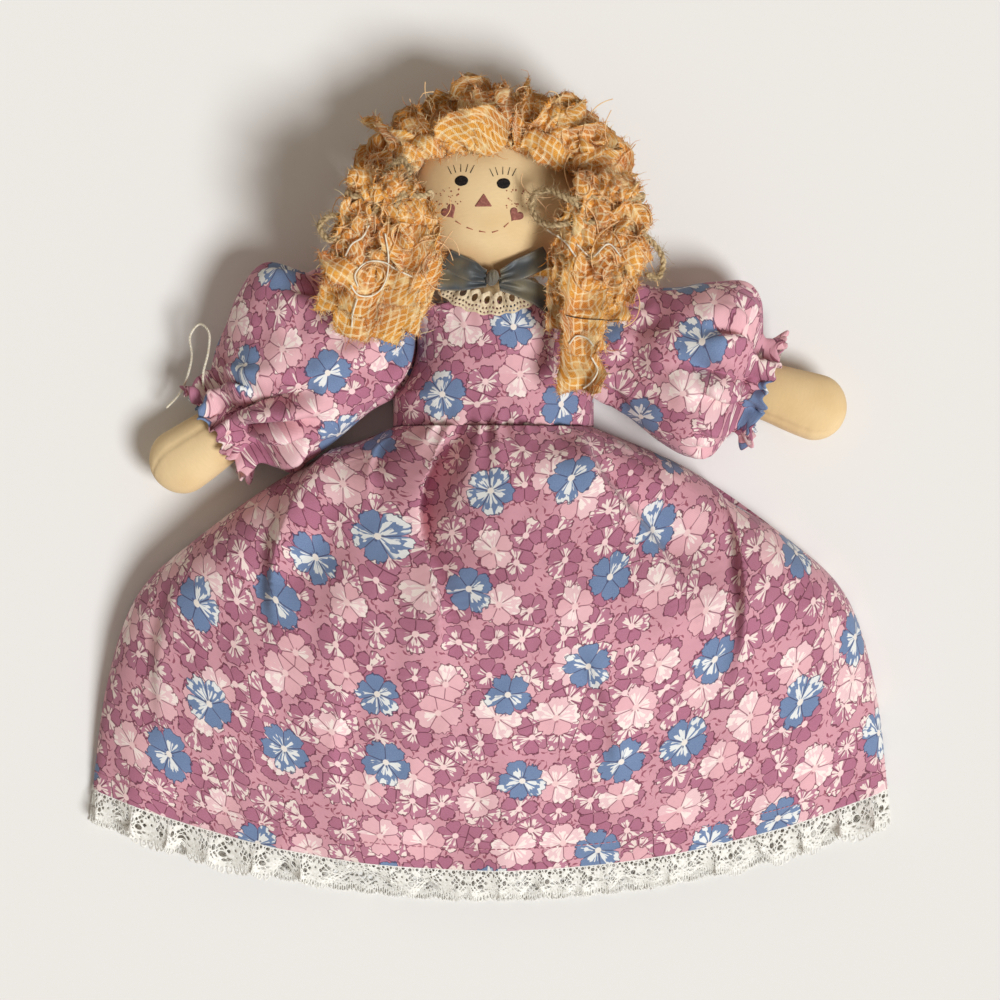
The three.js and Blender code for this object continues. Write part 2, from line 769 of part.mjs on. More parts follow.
function bunchStrip(ribs, number, tieX) {
  const box = new THREE.BoxGeometry(1, 1, 1, 5, 2, 1);
  return shaped(box, (point) => {
    const share = point.x + 0.5;
    const low = ribPoint(ribs[number], share, tieX);
    const high = ribPoint(ribs[number + 1], share, tieX);
    const width = Math.max(low.distanceTo(high), hairGap * 4);
    const crosswise = 0.5 + point.y * (1 - hairGap / width);
    const place = low.lerp(high, crosswise);
    const pinch = 1 - pinchShare * (1 - THREE.MathUtils.smoothstep(share, 0, pinchReachShare));
    const torn = 1 - tornShare * THREE.MathUtils.smoothstep(share, pinchReachShare, 1);
    const round = 1 - stripRoundShare * (2 * point.y) ** 2;
    const top = bunchThickness * bunchTopShares[number] * pinch * torn * round;
    point.set(place.x, place.y, bunchFloorZ + (point.z > 0 ? top : 0));
  });
}

// Pushes a sine or cosine towards 1 or -1, for a ring with square shoulders
function squared(value, exponent) {
  const rounded = Math.round(value / roundOff) * roundOff;
  return Math.sign(rounded) * Math.abs(rounded) ** exponent;
}

function twineTie(ribs, tieX) {
  const first = ribPoint(ribs[0], tieShare, tieX);
  const last = ribPoint(ribs[ribs.length - 1], tieShare, tieX);
  const radius = twineDiameter / 2;
  const halfSpan = (last.x - first.x) / 2 + 2 * clearance + twineDiameter;
  const halfThickness = bunchThickness / 2 + clearance + radius;
  const torus = new THREE.TorusGeometry(1, 1 / 2, 6, 16);
  return shaped(torus, (point) => {
    const turn = Math.atan2(point.y, point.x);
    const ring = Math.hypot(point.x, point.y) - 1;
    const squareX = squared(Math.cos(turn), tieSquareness);
    const squareZ = squared(Math.sin(turn), tieSquareness);
    const grow = ring * twineDiameter;
    point.set(
      (first.x + last.x) / 2 + squareX * (halfSpan + grow),
      (first.y + last.y) / 2 + point.z * twineDiameter,
      bunchFloorZ + bunchThickness / 2 + squareZ * (halfThickness + grow),
    );
  });
}

function bunch(side, ribs, tieX) {
  for (let i = 0; i < ribs.length - 1; i += 1) {
    addPiece(`${side}_bunch_strip_${i + 1}`, bunchStrip(ribs, i, tieX), homespunColour);
  }
  addPiece(`${side}_twine_tie`, twineTie(ribs, tieX), twineColour);
}
bunch('left', leftRibShares, leftTieX);
bunch('right', rightRibShares, rightTieX);

// Loose twine ends and the cuff thread, along routes laid by hand
const leftTwineRoute = [
  [-28, 45, 53.4], [-25, 50.5, 52.8], [-23.5, 56, 49.4], [-26.5, 59.5, 48.8], [-30.6, 56.5, 49.8],
  [-31.6, 51, 53], [-32.2, 46, 53.4], [-35.5, 42.5, 53.2], [-41, 42, 51.4], [-46.5, 43, 49.8],
  [-50, 40, 49], [-47.5, 36, 49.2], [-43.8, 37, 50.4],
];
const rightTwineRoute = [
  [28, 44.5, 53.4], [22.5, 47.8, 53.2], [17.5, 51, 48.5], [13, 50, 45], [11.6, 45.5, 43.5],
  [14.5, 41.2, 45], [19.5, 40.2, 50.4], [25, 41, 53.2], [33, 41, 53.2], [41, 39.5, 52],
  [47.5, 35.5, 48.5], [51, 30, 45.5], [49.5, 25, 44], [46, 25.8, 47],
];
const cuffThreadRoute = [
  [-86.2, -8.4, 15.2], [-86.2, -2.5, 18], [-84.5, 4, 20], [-84.5, 10, 18], [-87.5, 12.5, 15],
  [-90.5, 9, 13], [-90, 3, 12.5], [-91.5, -3.5, 12], [-94, -8.5, 10.5], [-98, -12.5, 8],
];

const cordStepShare = 2;

function cordTube(route, diameter) {
  const curve = new THREE.CatmullRomCurve3(route.map(([x, y, z]) => new THREE.Vector3(x, y, z)));
  const section = new THREE.Shape();
  section.absarc(0, 0, diameter / 2, 0, 2 * Math.PI);
  const steps = Math.round(curve.getLength() / (diameter * cordStepShare));
  const options = { steps, curveSegments: 4, bevelEnabled: false, extrudePath: curve };
  return shaped(new THREE.ExtrudeGeometry(section, options), () => {});
}
addPiece('left_twine_bow', cordTube(leftTwineRoute, twineDiameter), twineColour);
addPiece('right_twine_bow', cordTube(rightTwineRoute, twineDiameter), twineColour);
addPiece('left_cuff_thread', cordTube(cuffThreadRoute, threadDiameter), threadColour);

export default group;
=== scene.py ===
# Rag doll lying on its back: cloth, lace, ribbon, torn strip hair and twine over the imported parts.
# Each piece is shaped in millimetres and its finished mesh is in metres.

import math
import random

import bpy
import numpy as np
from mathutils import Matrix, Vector, noise
from mathutils.bvhtree import BVHTree


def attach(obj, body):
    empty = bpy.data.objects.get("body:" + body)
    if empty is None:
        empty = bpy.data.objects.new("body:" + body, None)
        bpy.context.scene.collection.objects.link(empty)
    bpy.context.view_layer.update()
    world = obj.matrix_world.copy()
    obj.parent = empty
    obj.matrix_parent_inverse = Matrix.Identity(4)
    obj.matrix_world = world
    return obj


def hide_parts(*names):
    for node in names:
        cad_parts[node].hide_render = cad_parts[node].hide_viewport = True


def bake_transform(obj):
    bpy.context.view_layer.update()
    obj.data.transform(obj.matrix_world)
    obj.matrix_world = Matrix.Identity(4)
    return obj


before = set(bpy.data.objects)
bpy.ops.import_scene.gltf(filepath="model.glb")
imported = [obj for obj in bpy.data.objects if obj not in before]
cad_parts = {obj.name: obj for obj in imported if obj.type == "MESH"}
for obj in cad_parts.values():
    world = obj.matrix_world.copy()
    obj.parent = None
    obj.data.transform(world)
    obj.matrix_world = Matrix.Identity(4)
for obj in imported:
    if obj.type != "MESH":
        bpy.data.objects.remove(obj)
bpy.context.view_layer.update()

MM = 0.001
scene = bpy.context.scene
# Blender's vector noise takes its start from the clock until it is given a seed
noise.seed_set(1)
scene.view_settings.view_transform = "Standard"

# Sizes that the pieces share, in millimetres
BODY_X = 1
TORSO_TOP, TORSO_LENGTH = 13.2, 57
BASE_Z, FRONT_Z = 1.5, 30.1
WAIST_Y, NECKLINE_Y = -18, 18
SHOULDER_Y, SHOULDER_REACH, NOSE = 6, 41.8, 18
WAIST_HALF_WIDTH, SKIRT_FLARE, SKIRT_DROP, HEM_BOW, SKIRT_CREST = 30, 91, 110, 24, 42
NECK_Y, NECK_Z, CHIN_Y = 19.5, 17.95, 25.8
HEAD_LENGTH, HEAD_HALF_WIDTH, HEAD_HALF_DEPTH, HEAD_MIDDLE_Z = 51, 25.5, 17, 20.9
RING_Y, TIE_Y, BUNCH_FLOOR = 48.24, 51.58, 36.65


# Making meshes


def deselect():
    bpy.ops.object.select_all(action="DESELECT")


def pick(piece):
    deselect()
    piece.select_set(True)
    bpy.context.view_layer.objects.active = piece


def apply(piece, kind, **settings):
    """Adds a modifier to a piece and applies it."""
    pick(piece)
    modifier = piece.modifiers.new(kind.lower(), kind)
    for setting, value in settings.items():
        setattr(modifier, setting, value)
    bpy.ops.object.modifier_apply(modifier=modifier.name)


def thicken(piece, wall):
    apply(piece, "SOLIDIFY", thickness=wall * MM, offset=-1)


def close_up(piece):
    """Joins the doubled points at seams and poles and turns the faces outward."""
    pick(piece)
    bpy.ops.object.mode_set(mode="EDIT")
    bpy.ops.mesh.select_all(action="SELECT")
    bpy.ops.mesh.remove_doubles(threshold=1e-6)
    bpy.ops.mesh.normals_make_consistent(inside=False)
    bpy.ops.object.mode_set(mode="OBJECT")


def laid_out(points):
    """The flat place of each point of a cloth: its way from the middle column and from the first row."""
    across = np.linalg.norm(np.diff(points, axis=1), axis=2)
    down = np.linalg.norm(np.diff(points, axis=0), axis=2)
    u = np.pad(np.cumsum(across, axis=1), ((0, 0), (1, 0)))
    v = np.pad(np.cumsum(down, axis=0), ((1, 0), (0, 0)))
    u = u - u[:, [points.shape[1] // 2]]
    return np.stack([u, v], axis=2)


def from_grid(name, points, shift=(0, 0), layout=None):
    """A sheet on a grid of points, rows by columns, with its weave laid out flat in metres."""
    points = np.asarray(points, float)
    rows, columns = points.shape[:2]
    deselect()
    bpy.ops.mesh.primitive_grid_add(x_subdivisions=columns - 1, y_subdivisions=rows - 1, size=1)
    piece = bpy.context.object
    piece.name = piece.data.name = name
    mesh = piece.data
    flat = np.empty(len(mesh.vertices) * 3)
    mesh.vertices.foreach_get("co", flat)
    flat = flat.reshape(-1, 3) + 0.5
    column = np.rint(flat[:, 0] * (columns - 1)).astype(int)
    row = np.rint(flat[:, 1] * (rows - 1)).astype(int)
    mesh.vertices.foreach_set("co", (points[row, column] * MM).ravel())
    if layout is None:
        layout = laid_out(points)
    layout = (layout + np.array(shift)) * MM
    loops = np.empty(len(mesh.loops), int)
    mesh.loops.foreach_get("vertex_index", loops)
    mesh.uv_layers.active.data.foreach_set("uv", layout[row[loops], column[loops]].ravel())
    mesh.update()
    return piece


def from_parts(name, parts):
    """One mesh from parts of (points in mm, faces, flat place of every point in mm)."""
    points, faces, places, start = [], [], [], 0
    for part_points, part_faces, part_places in parts:
        points.append(np.asarray(part_points, float))
        faces.extend([start + i for i in face] for face in part_faces)
        places.append(np.broadcast_to(np.asarray(part_places, float), (len(part_points), 2)))
        start += len(part_points)
    mesh = bpy.data.meshes.new(name)
    mesh.from_pydata((np.concatenate(points) * MM).tolist(), [], faces)
    loops = np.empty(len(mesh.loops), int)
    mesh.loops.foreach_get("vertex_index", loops)
    flat = np.concatenate(places) * MM
    mesh.uv_layers.new(name="UVMap").data.foreach_set("uv", flat[loops].ravel())
    mesh.update()
    piece = bpy.data.objects.new(name, mesh)
    scene.collection.objects.link(piece)
    return piece


def front_of(*pieces):
    """The height of the pieces' front over a place in the plan, in millimetres."""
    points, faces = [], []
    for piece in pieces:
        start = len(points)
        points += [vertex.co.copy() for vertex in piece.data.vertices]
        faces += [[start + i for i in face.vertices] for face in piece.data.polygons]
    tree = BVHTree.FromPolygons(points, faces)

    def height(x, y, otherwise=0.0):
        hit = tree.ray_cast(Vector((x * MM, y * MM, 1)), Vector((0, 0, -1)))[0]
        return hit.z / MM if hit else otherwise

    return height


def join(name, pieces):
    deselect()
    for piece in pieces:
        piece.select_set(True)
    bpy.context.view_layer.objects.active = pieces[0]
    bpy.ops.object.join()
    pieces[0].name = pieces[0].data.name = name
    return pieces[0]


def dress(piece, finish, body=None, replaces=()):
    """Gives a finished piece its material and the body that it rides on."""
    piece.data.materials.clear()
    piece.data.materials.append(finish)
    pick(piece)
    bpy.ops.object.shade_smooth()
    if replaces:
        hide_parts(*replaces)
    if body:
        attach(piece, body)
    return piece


# Curves and shares


def mix(low, high, share):
    return low + (high - low) * share


def smooth(low, high, value):
    share = min(max((value - low) / (high - low), 0), 1)
    return share * share * (3 - 2 * share)


def along(table, share):
    """Smooth value of an evenly spaced table at a share from 0 to 1."""
    place = min(max(share, 0), 1) * (len(table) - 1)
    low = min(int(place), len(table) - 2)
    t = place - low
    p0, p1, p2, p3 = (np.asarray(table[min(max(low + i, 0), len(table) - 1)], float) for i in (-1, 0, 1, 2))
    v0, v1 = (p2 - p0) / 2, (p3 - p1) / 2
    return (2 * p1 - 2 * p2 + v0 + v1) * t**3 + (3 * p2 - 3 * p1 - 2 * v0 - v1) * t * t + v0 * t + p1


def wander(x, y, z):
    """Smooth noise from about -1 to 1."""
    return noise.noise(Vector((x, y, z)))


def between(keys, x):
    """Smooth value of a table of (x, values...) with uneven steps."""
    low = 0
    while low < len(keys) - 2 and x > keys[low + 1][0]:
        low += 1
    x0, x1 = keys[low][0], keys[low + 1][0]
    p0, p1 = np.array(keys[low][1:], float), np.array(keys[low + 1][1:], float)

    def slope(i):
        before, after = keys[max(i - 1, 0)], keys[min(i + 1, len(keys) - 1)]
        return (np.array(after[1:], float) - np.array(before[1:], float)) / (after[0] - before[0])

    t = (x - x0) / (x1 - x0)
    m0, m1 = slope(low) * (x1 - x0), slope(low + 1) * (x1 - x0)
    start, stop = 2 * t**3 - 3 * t * t + 1, 3 * t * t - 2 * t**3
    return start * p0 + (t**3 - 2 * t * t + t) * m0 + stop * p1 + (t**3 - t * t) * m1


def through(route, steps=12):
    """Points along a smooth line through a route's points, with the given steps for each span."""
    p = [np.array(q, float) for q in route]
    p = [2 * p[0] - p[1], *p, 2 * p[-1] - p[-2]]
    line = []
    for i in range(1, len(p) - 2):
        a, b, c, d = p[i - 1 : i + 3]
        g0, g1, g2 = (max(np.linalg.norm(e - f) ** 0.5, 1e-4) for e, f in ((b, a), (c, b), (d, c)))
        m0 = ((b - a) / g0 - (c - a) / (g0 + g1) + (c - b) / g1) * g1
        m1 = ((c - b) / g1 - (d - b) / (g1 + g2) + (d - c) / g2) * g1
        for k in range(steps):
            t = k / steps
            line.append(
                (2 * b - 2 * c + m0 + m1) * t**3 + (3 * c - 3 * b - 2 * m0 - m1) * t * t + m0 * t + b
            )
    line.append(p[-2])
    return np.array(line)


def evenly(line, count):
    """The same line with its points at even steps."""
    gaps = np.linalg.norm(np.diff(line, axis=0), axis=1)
    way = np.concatenate([[0], np.cumsum(gaps)])
    steps = np.linspace(0, way[-1], count)
    return np.stack([np.interp(steps, way, line[:, i]) for i in range(3)], axis=1)


def moved(x, y, ahead, aside, turn):
    """The place some way ahead of (x, y) and aside, where ahead is at an angle to the x axis."""
    c, s = math.cos(turn), math.sin(turn)
    return x + ahead * c - aside * s, y + ahead * s + aside * c


def length_of(line):
    return float(np.linalg.norm(np.diff(line, axis=0), axis=1).sum())


def directions(line):
    """The direction and two crosswise directions at each point of a line, turned as little as possible."""
    ahead = np.gradient(line, axis=0)
    ahead /= np.linalg.norm(ahead, axis=1)[:, None]
    side = np.cross(ahead[0], (0, 0, 1))
    if np.linalg.norm(side) < 1e-3:
        side = np.array([1.0, 0, 0])
    sides = []
    for direction in ahead:
        side = side - direction * (side @ direction)
        side = side / np.linalg.norm(side)
        sides.append(side)
    sides = np.array(sides)
    return ahead, sides, np.cross(ahead, sides)


def strand(line, radii, sides=3, place=(0, 0)):
    """A thin closed tube along a line, as one part of a mesh."""
    _, side, up = directions(line)
    turns = np.arange(sides) / sides * 2 * math.pi
    ring = side[:, None] * np.cos(turns)[None, :, None] + up[:, None] * np.sin(turns)[None, :, None]
    radii = np.broadcast_to(radii, len(line))
    points = (line[:, None] + ring * radii[:, None, None]).reshape(-1, 3)
    faces = [
        (i * sides + k, i * sides + (k + 1) % sides, (i + 1) * sides + (k + 1) % sides, (i + 1) * sides + k)
        for i in range(len(line) - 1)
        for k in range(sides)
    ]
    last = (len(line) - 1) * sides
    faces += [tuple(reversed(range(sides))), tuple(range(last, last + sides))]
    return points, faces, place


def hairs(starts, ways, seed, length, radius, curl=0.4, spots=((0, 0),), steps=4):
    """Loose fibres that start at the places and run outward, each with its own bend, as one part."""
    rng = np.random.default_rng(seed)
    starts, ways = np.array(starts, float), np.array(ways, float)
    count = len(starts)
    ways /= np.maximum(np.linalg.norm(ways, axis=1), 1e-6)[:, None]
    reach = length * rng.uniform(0.35, 1.3, count) * np.where(rng.random(count) < 0.05, 2.4, 1)
    line = [starts - ways * 0.25]
    side = np.cross(ways, rng.normal(size=(count, 3)))
    side /= np.maximum(np.linalg.norm(side, axis=1), 1e-6)[:, None]
    up = np.cross(ways, side)
    for _ in range(steps):
        ways = ways + rng.normal(0, curl, (count, 3))
        ways /= np.linalg.norm(ways, axis=1)[:, None]
        line.append(line[-1] + ways * (reach / steps)[:, None])
    line = np.stack(line, axis=1)
    turns = np.arange(3) / 3 * 2 * math.pi
    ring = side[:, None] * np.cos(turns)[None, :, None] + up[:, None] * np.sin(turns)[None, :, None]
    radii = np.linspace(radius, radius * 0.5, steps + 1)
    points = line[:, :, None] + ring[:, None] * radii[None, :, None, None]
    faces = []
    for i in range(steps):
        for k in range(3):
            low, high = 3 * i + k, 3 * i + (k + 1) % 3
            faces.append((low, high, high + 3, low + 3))
    own = 3 * (steps + 1)
    firsts = np.arange(count) * own
    quads = (firsts[:, None, None] + np.array(faces)).reshape(-1, 4).tolist()
    ends = np.array([(2, 1, 0), (own - 3, own - 2, own - 1)])
    caps = (firsts[:, None, None] + ends).reshape(-1, 3).tolist()
    places = np.array(spots)[rng.integers(len(spots), size=count)]
    return points.reshape(-1, 3), quads + caps, np.repeat(places, own, axis=0)


# Finishes


def srgb(red, green, blue):
    """A colour from its values out of 255."""
    shares = (red / 255, green / 255, blue / 255)
    return tuple(c / 12.92 if c <= 0.04045 else ((c + 0.055) / 1.055) ** 2.4 for c in shares) + (1.0,)


class Finish:
    """A material and short ways to add nodes to it."""

    def __init__(self, name, **sockets):
        self.material = bpy.data.materials.new(name)
        self.material.use_nodes = True
        self.tree = self.material.node_tree
        self.shader = self.tree.nodes["Principled BSDF"]
        for socket, value in sockets.items():
            self.shader.inputs[socket.replace("_", " ")].default_value = value

    def node(self, kind, inputs=(), **settings):
        node = self.tree.nodes.new(kind)
        for setting, value in settings.items():
            setattr(node, setting, value)
        for socket, value in dict(inputs).items():
            self.feed(value, node.inputs[socket])
        return node

    def feed(self, value, socket):
        if isinstance(value, bpy.types.NodeSocket):
            self.tree.links.new(value, socket)
        else:
            socket.default_value = value

    def math(self, operation, *values, clamp=False):
        node = self.node("ShaderNodeMath", dict(enumerate(values)), operation=operation, use_clamp=clamp)
        return node.outputs[0]

    def plus(self, a, b):
        return self.math("ADD", a, b)

    def minus(self, a, b):
        return self.math("SUBTRACT", a, b)

    def times(self, a, b):
        return self.math("MULTIPLY", a, b)

    def times_plus(self, a, b, c):
        return self.math("MULTIPLY_ADD", a, b, c)

    def vector(self, operation, *values, output=0, scale=None):
        inputs = dict(enumerate(values))
        if scale is not None:
            inputs["Scale"] = scale
        return self.node("ShaderNodeVectorMath", inputs, operation=operation).outputs[output]

    def blend(self, share, low, high, kind="MIX"):
        node = self.node("ShaderNodeMix", data_type="RGBA", blend_type=kind)
        for value, socket in ((share, node.inputs[0]), (low, node.inputs[6]), (high, node.inputs[7])):
            self.feed(value, socket)
        return node.outputs[2]

    def step(self, value, low, high):
        """0 below low and 1 above high, smooth between."""
        node = self.node("ShaderNodeMapRange", {0: value, 1: low, 2: high}, interpolation_type="SMOOTHSTEP")
        return node.outputs[0]

    def split(self, vector):
        return self.node("ShaderNodeSeparateXYZ", {0: vector}).outputs[:3]

    def join(self, x, y, z=0.0):
        return self.node("ShaderNodeCombineXYZ", {0: x, 1: y, 2: z}).outputs[0]

    def grain(self, place, scale, detail=2.0, rough=0.5, colour=False):
        inputs = {"Vector": place, "Scale": scale, "Detail": detail, "Roughness": rough}
        return self.node("ShaderNodeTexNoise", inputs).outputs["Color" if colour else "Fac"]

    def cloth_place(self):
        """Place on the flat cloth, in millimetres."""
        uv = self.node("ShaderNodeTexCoord").outputs["UV"]
        return self.vector("SCALE", uv, scale=1000.0)

    def object_place(self):
        place = self.node("ShaderNodeTexCoord").outputs["Object"]
        return self.vector("SCALE", place, scale=1000.0)

    def weave(self, place, pitch):
        """Height of a plain weave, from 0 to 1."""
        x, y, _ = self.split(place)
        turn = 2 * math.pi / pitch
        over = self.math("SINE", self.times(x, turn))
        under = self.math("SINE", self.times(y, turn))
        return self.times_plus(self.times(over, under), 0.5, 0.5)

    def raised(self, height, distance, strength=1.0):
        """Bump from a height, with its distance in millimetres."""
        inputs = {"Height": height, "Distance": distance * MM, "Strength": strength}
        self.feed(self.node("ShaderNodeBump", inputs).outputs[0], self.shader.inputs["Normal"])

    def colour(self, value):
        self.feed(value, self.shader.inputs["Base Color"])
        return self.material


def flowers(f, place, wobble, pitch, size, jitter, seed):
    """Five petalled flowers, one in each cell: what a layer's colours are chosen by."""
    shifted = f.vector("ADD", place, (seed * 37.0, seed * 91.0, 0.0))
    cell_place = f.vector("SCALE", shifted, scale=1.0 / pitch)
    where = {"Vector": cell_place, "Scale": 1.0, "Randomness": jitter}
    cells = f.node("ShaderNodeTexVoronoi", where, voronoi_dimensions="2D")
    borders = f.node("ShaderNodeTexVoronoi", where, voronoi_dimensions="2D", feature="DISTANCE_TO_EDGE")
    chance = f.node("ShaderNodeSeparateColor", {0: cells.outputs["Color"]}).outputs
    x, y, _ = f.split(f.vector("SUBTRACT", cell_place, cells.outputs["Position"]))
    squares = f.plus(f.times(x, x), f.times(y, y))
    reach = f.times(f.math("SQRT", squares), pitch)
    turn = f.times_plus(f.math("ARCTAN2", y, x), 5 / (2 * math.pi), f.times_plus(chance[0], 5.0, 10.0))
    side = f.minus(f.math("FRACT", turn), 0.5)
    off_middle = f.math("ABSOLUTE", side)
    petal_key = f.vector("ADD", cells.outputs["Color"], f.join(f.math("FLOOR", turn), 0.0))
    petal_chance = f.node("ShaderNodeTexWhiteNoise", {0: petal_key}, noise_dimensions="3D").outputs["Value"]

    # Petal outline: broad, with a small dent at its tip and a frilly edge
    rounded = f.math("SQRT", f.minus(1.0, f.math("POWER", f.times(off_middle, 2.0), 2.8)))
    outline = f.times_plus(rounded, 0.42, 0.58)
    outline = f.times_plus(f.step(off_middle, 0.14, 0.0), -0.07, outline)
    outline = f.plus(outline, f.times_plus(wobble, 0.34, -0.17))
    own_size = f.times_plus(chance[1], 0.2, f.times_plus(petal_chance, 0.18, 0.81))
    edge = f.times(f.times(outline, own_size), size)
    inside = f.minus(edge, reach)
    fill = f.step(inside, -0.06, 0.06)
    rim = f.minus(f.step(inside, -0.3, -0.14), f.step(inside, 0.1, 0.26))
    border = f.times(f.step(f.times(borders.outputs["Distance"], pitch), 0.24, 0.1), fill)
    gap = f.times(f.minus(0.5, off_middle), f.times(reach, 2 * math.pi / 5))
    parting = f.times(f.step(gap, 0.22, 0.07), f.times(fill, f.step(reach, 0.9, 1.5)))

    # Cream strokes run out from the middle of some petals and in from the tips of others
    stroke_place = f.join(f.times(side, 6.5), f.times(reach, 0.22), f.times(petal_chance, 60.0))
    stroke = f.grain(stroke_place, 1.0, 1.0)
    share = f.math("DIVIDE", reach, edge)
    from_middle = f.times(f.step(share, 0.82, 0.5), f.step(petal_chance, 0.4, 0.44))
    from_tip = f.times(f.step(share, 0.55, 0.85), f.step(petal_chance, 0.7, 0.74))
    light = f.times_plus(f.math("MAXIMUM", from_middle, from_tip), 0.4, stroke)
    light = f.times(f.step(light, 0.82, 0.88), f.step(off_middle, 0.44, 0.34))
    dot = f.step(reach, 1.0, 0.86)
    spikes = f.step(f.grain(f.join(f.times(turn, 2.2), 0.0, chance[2]), 1.0, 0.0), 0.5, 0.6)
    dot_rim = f.times(f.step(reach, 1.9, 1.3), f.times(spikes, f.minus(1.0, dot)))
    return {
        "fill": fill,
        "line": f.math("MAXIMUM", f.math("MAXIMUM", rim, parting), border, clamp=True),
        "light": light,
        "dot": dot,
        "dot_rim": dot_rim,
        "chance": chance,
        "petal_chance": petal_chance,
    }


def leaf_sprigs(f, place):
    """Small leaves set in twos and threes along short bent stems."""
    shown = 0.0
    for turn, shift, scale in ((0.0, 0.0, 2.5), (1.1, 0.37, 3.1)):
        spin = {"Vector": place, "Angle": turn}
        turned = f.node("ShaderNodeVectorRotate", spin, rotation_type="Z_AXIS").outputs[0]
        spot = f.vector("ADD", f.vector("SCALE", turned, scale=1 / scale), (shift, shift, 0.0))
        where = {"Vector": spot, "Scale": 1.0, "Randomness": 0.85}
        cells = f.node("ShaderNodeTexVoronoi", where, voronoi_dimensions="2D")
        chance = f.node("ShaderNodeSeparateColor", {0: cells.outputs["Color"]}).outputs
        x, y, _ = f.split(f.vector("SUBTRACT", spot, cells.outputs["Position"]))
        angle = f.times(chance[0], 2 * math.pi)
        cosine, sine = f.math("COSINE", angle), f.math("SINE", angle)
        lengthwise = f.plus(f.times(x, cosine), f.times(y, sine))
        crosswise = f.minus(f.times(y, cosine), f.times(x, sine))
        bowed = f.times_plus(f.times(lengthwise, lengthwise), 0.8, crosswise)
        long_share = f.math("POWER", f.math("DIVIDE", f.minus(lengthwise, 0.17), 0.26), 2.0)
        leaf = f.plus(long_share, f.math("POWER", f.math("DIVIDE", bowed, 0.11), 2.0))
        off_line, off_middle = f.math("ABSOLUTE", bowed), f.math("ABSOLUTE", lengthwise)
        stem = f.times(f.step(off_line, 0.045, 0.015), f.step(off_middle, 0.46, 0.38))
        sprig = f.times(f.math("MAXIMUM", f.step(leaf, 1.2, 0.8), stem), f.step(chance[1], 0.42, 0.46))
        shown = f.math("MAXIMUM", shown, sprig)
    return shown


def calico():
    """Cotton print: mauve, pale pink and blue flowers and small leaves on dusty rose."""
    f = Finish("rose calico", Roughness=0.8, Sheen_Weight=0.15, Specular_IOR_Level=0.25)
    place = f.cloth_place()
    wobble = f.grain(place, 0.75, 1.0)
    stipple = f.grain(place, 3.4, 1.0)
    patch = f.grain(place, 0.05, 1.0)
    small = flowers(f, place, wobble, 11.0, 5.7, 0.5, 1)
    pale = flowers(f, place, wobble, 21.0, 6.5, 0.75, 3)
    blue = flowers(f, place, wobble, 31.0, 7.3, 0.7, 2)
    colour = f.blend(patch, srgb(205, 147, 160), srgb(214, 158, 168))
    colour = f.blend(f.times(leaf_sprigs(f, place), 0.85), colour, srgb(142, 70, 88))

    # Mauve flowers
    petals = f.blend(stipple, srgb(160, 92, 116), srgb(188, 124, 146))
    petals = f.blend(f.times(f.step(small["petal_chance"], 0.1, 0.9), 0.3), petals, srgb(205, 150, 165))
    petals = f.blend(f.times(small["light"], 0.92), petals, srgb(244, 226, 216))
    petals = f.blend(f.times(small["dot_rim"], 0.7), petals, srgb(126, 60, 80))
    petals = f.blend(small["dot"], petals, srgb(242, 208, 206))
    colour = f.blend(small["fill"], colour, petals)
    colour = f.blend(f.times(small["line"], 0.85), colour, srgb(98, 44, 62))

    # Pale pink flowers
    petals = f.blend(f.step(pale["petal_chance"], 0.2, 0.9), srgb(226, 174, 180), srgb(236, 200, 202))
    petals = f.blend(f.times(pale["light"], 0.9), petals, srgb(246, 230, 222))
    petals = f.blend(f.times(pale["dot_rim"], 0.7), petals, srgb(150, 84, 98))
    petals = f.blend(pale["dot"], petals, srgb(238, 202, 200))
    colour = f.blend(pale["fill"], colour, petals)
    colour = f.blend(f.times(pale["line"], 0.8), colour, srgb(116, 58, 76))

    # Blue flowers, set wide apart on top
    petals = f.blend(stipple, srgb(88, 110, 150), srgb(132, 152, 184))
    petals = f.blend(f.times(blue["light"], 0.95), petals, srgb(234, 234, 230))
    petals = f.blend(f.times(blue["dot_rim"], 0.8), petals, srgb(74, 80, 112))
    petals = f.blend(blue["dot"], petals, srgb(236, 226, 216))
    colour = f.blend(blue["fill"], colour, petals)
    colour = f.blend(f.times(blue["line"], 0.8), colour, srgb(66, 62, 92))

    weave = f.weave(place, 0.55)
    slub = f.grain(place, 0.9, 3.0)
    tone = f.times_plus(weave, 0.1, f.times_plus(slub, 0.12, 0.89))
    f.raised(f.times_plus(weave, 0.7, slub), 0.07, 0.7)
    return f.colour(f.vector("MULTIPLY", colour, f.join(tone, tone, tone)))


def muslin(name, brown_rim=False):
    """Plain tea coloured cotton; the face turns warm brown towards its edge."""
    f = Finish(name, Roughness=0.88, Sheen_Weight=0.15, Specular_IOR_Level=0.2)
    place = f.cloth_place()
    weave = f.weave(place, 0.5)
    slub = f.grain(f.vector("MULTIPLY", place, (1.0, 3.0, 1.0)), 0.5, 3.0)
    spot = f.object_place()
    stain = f.grain(spot, 0.045, 2.0)
    colour = f.blend(f.step(stain, 0.35, 0.65), srgb(222, 190, 140), srgb(232, 204, 156))
    if brown_rim:
        # The face turns warm brown by its distance from the face's middle, darkest at its edge
        off = f.vector("MULTIPLY", f.vector("SUBTRACT", spot, (BODY_X, 52.0, 20.0)), (1 / 25, 1 / 25, 0.0))
        edge = f.plus(f.vector("LENGTH", off, output=1), f.times(stain, 0.5))
        colour = f.blend(f.times(f.step(edge, 0.95, 1.3), 0.6), colour, srgb(196, 138, 84))
    tone = f.times_plus(weave, 0.07, f.times_plus(slub, 0.1, 0.91))
    f.raised(f.times_plus(weave, 0.6, slub), 0.08, 0.6)
    return f.colour(f.vector("MULTIPLY", colour, f.join(tone, tone, tone)))


HOMESPUN_CHECK = 2.5


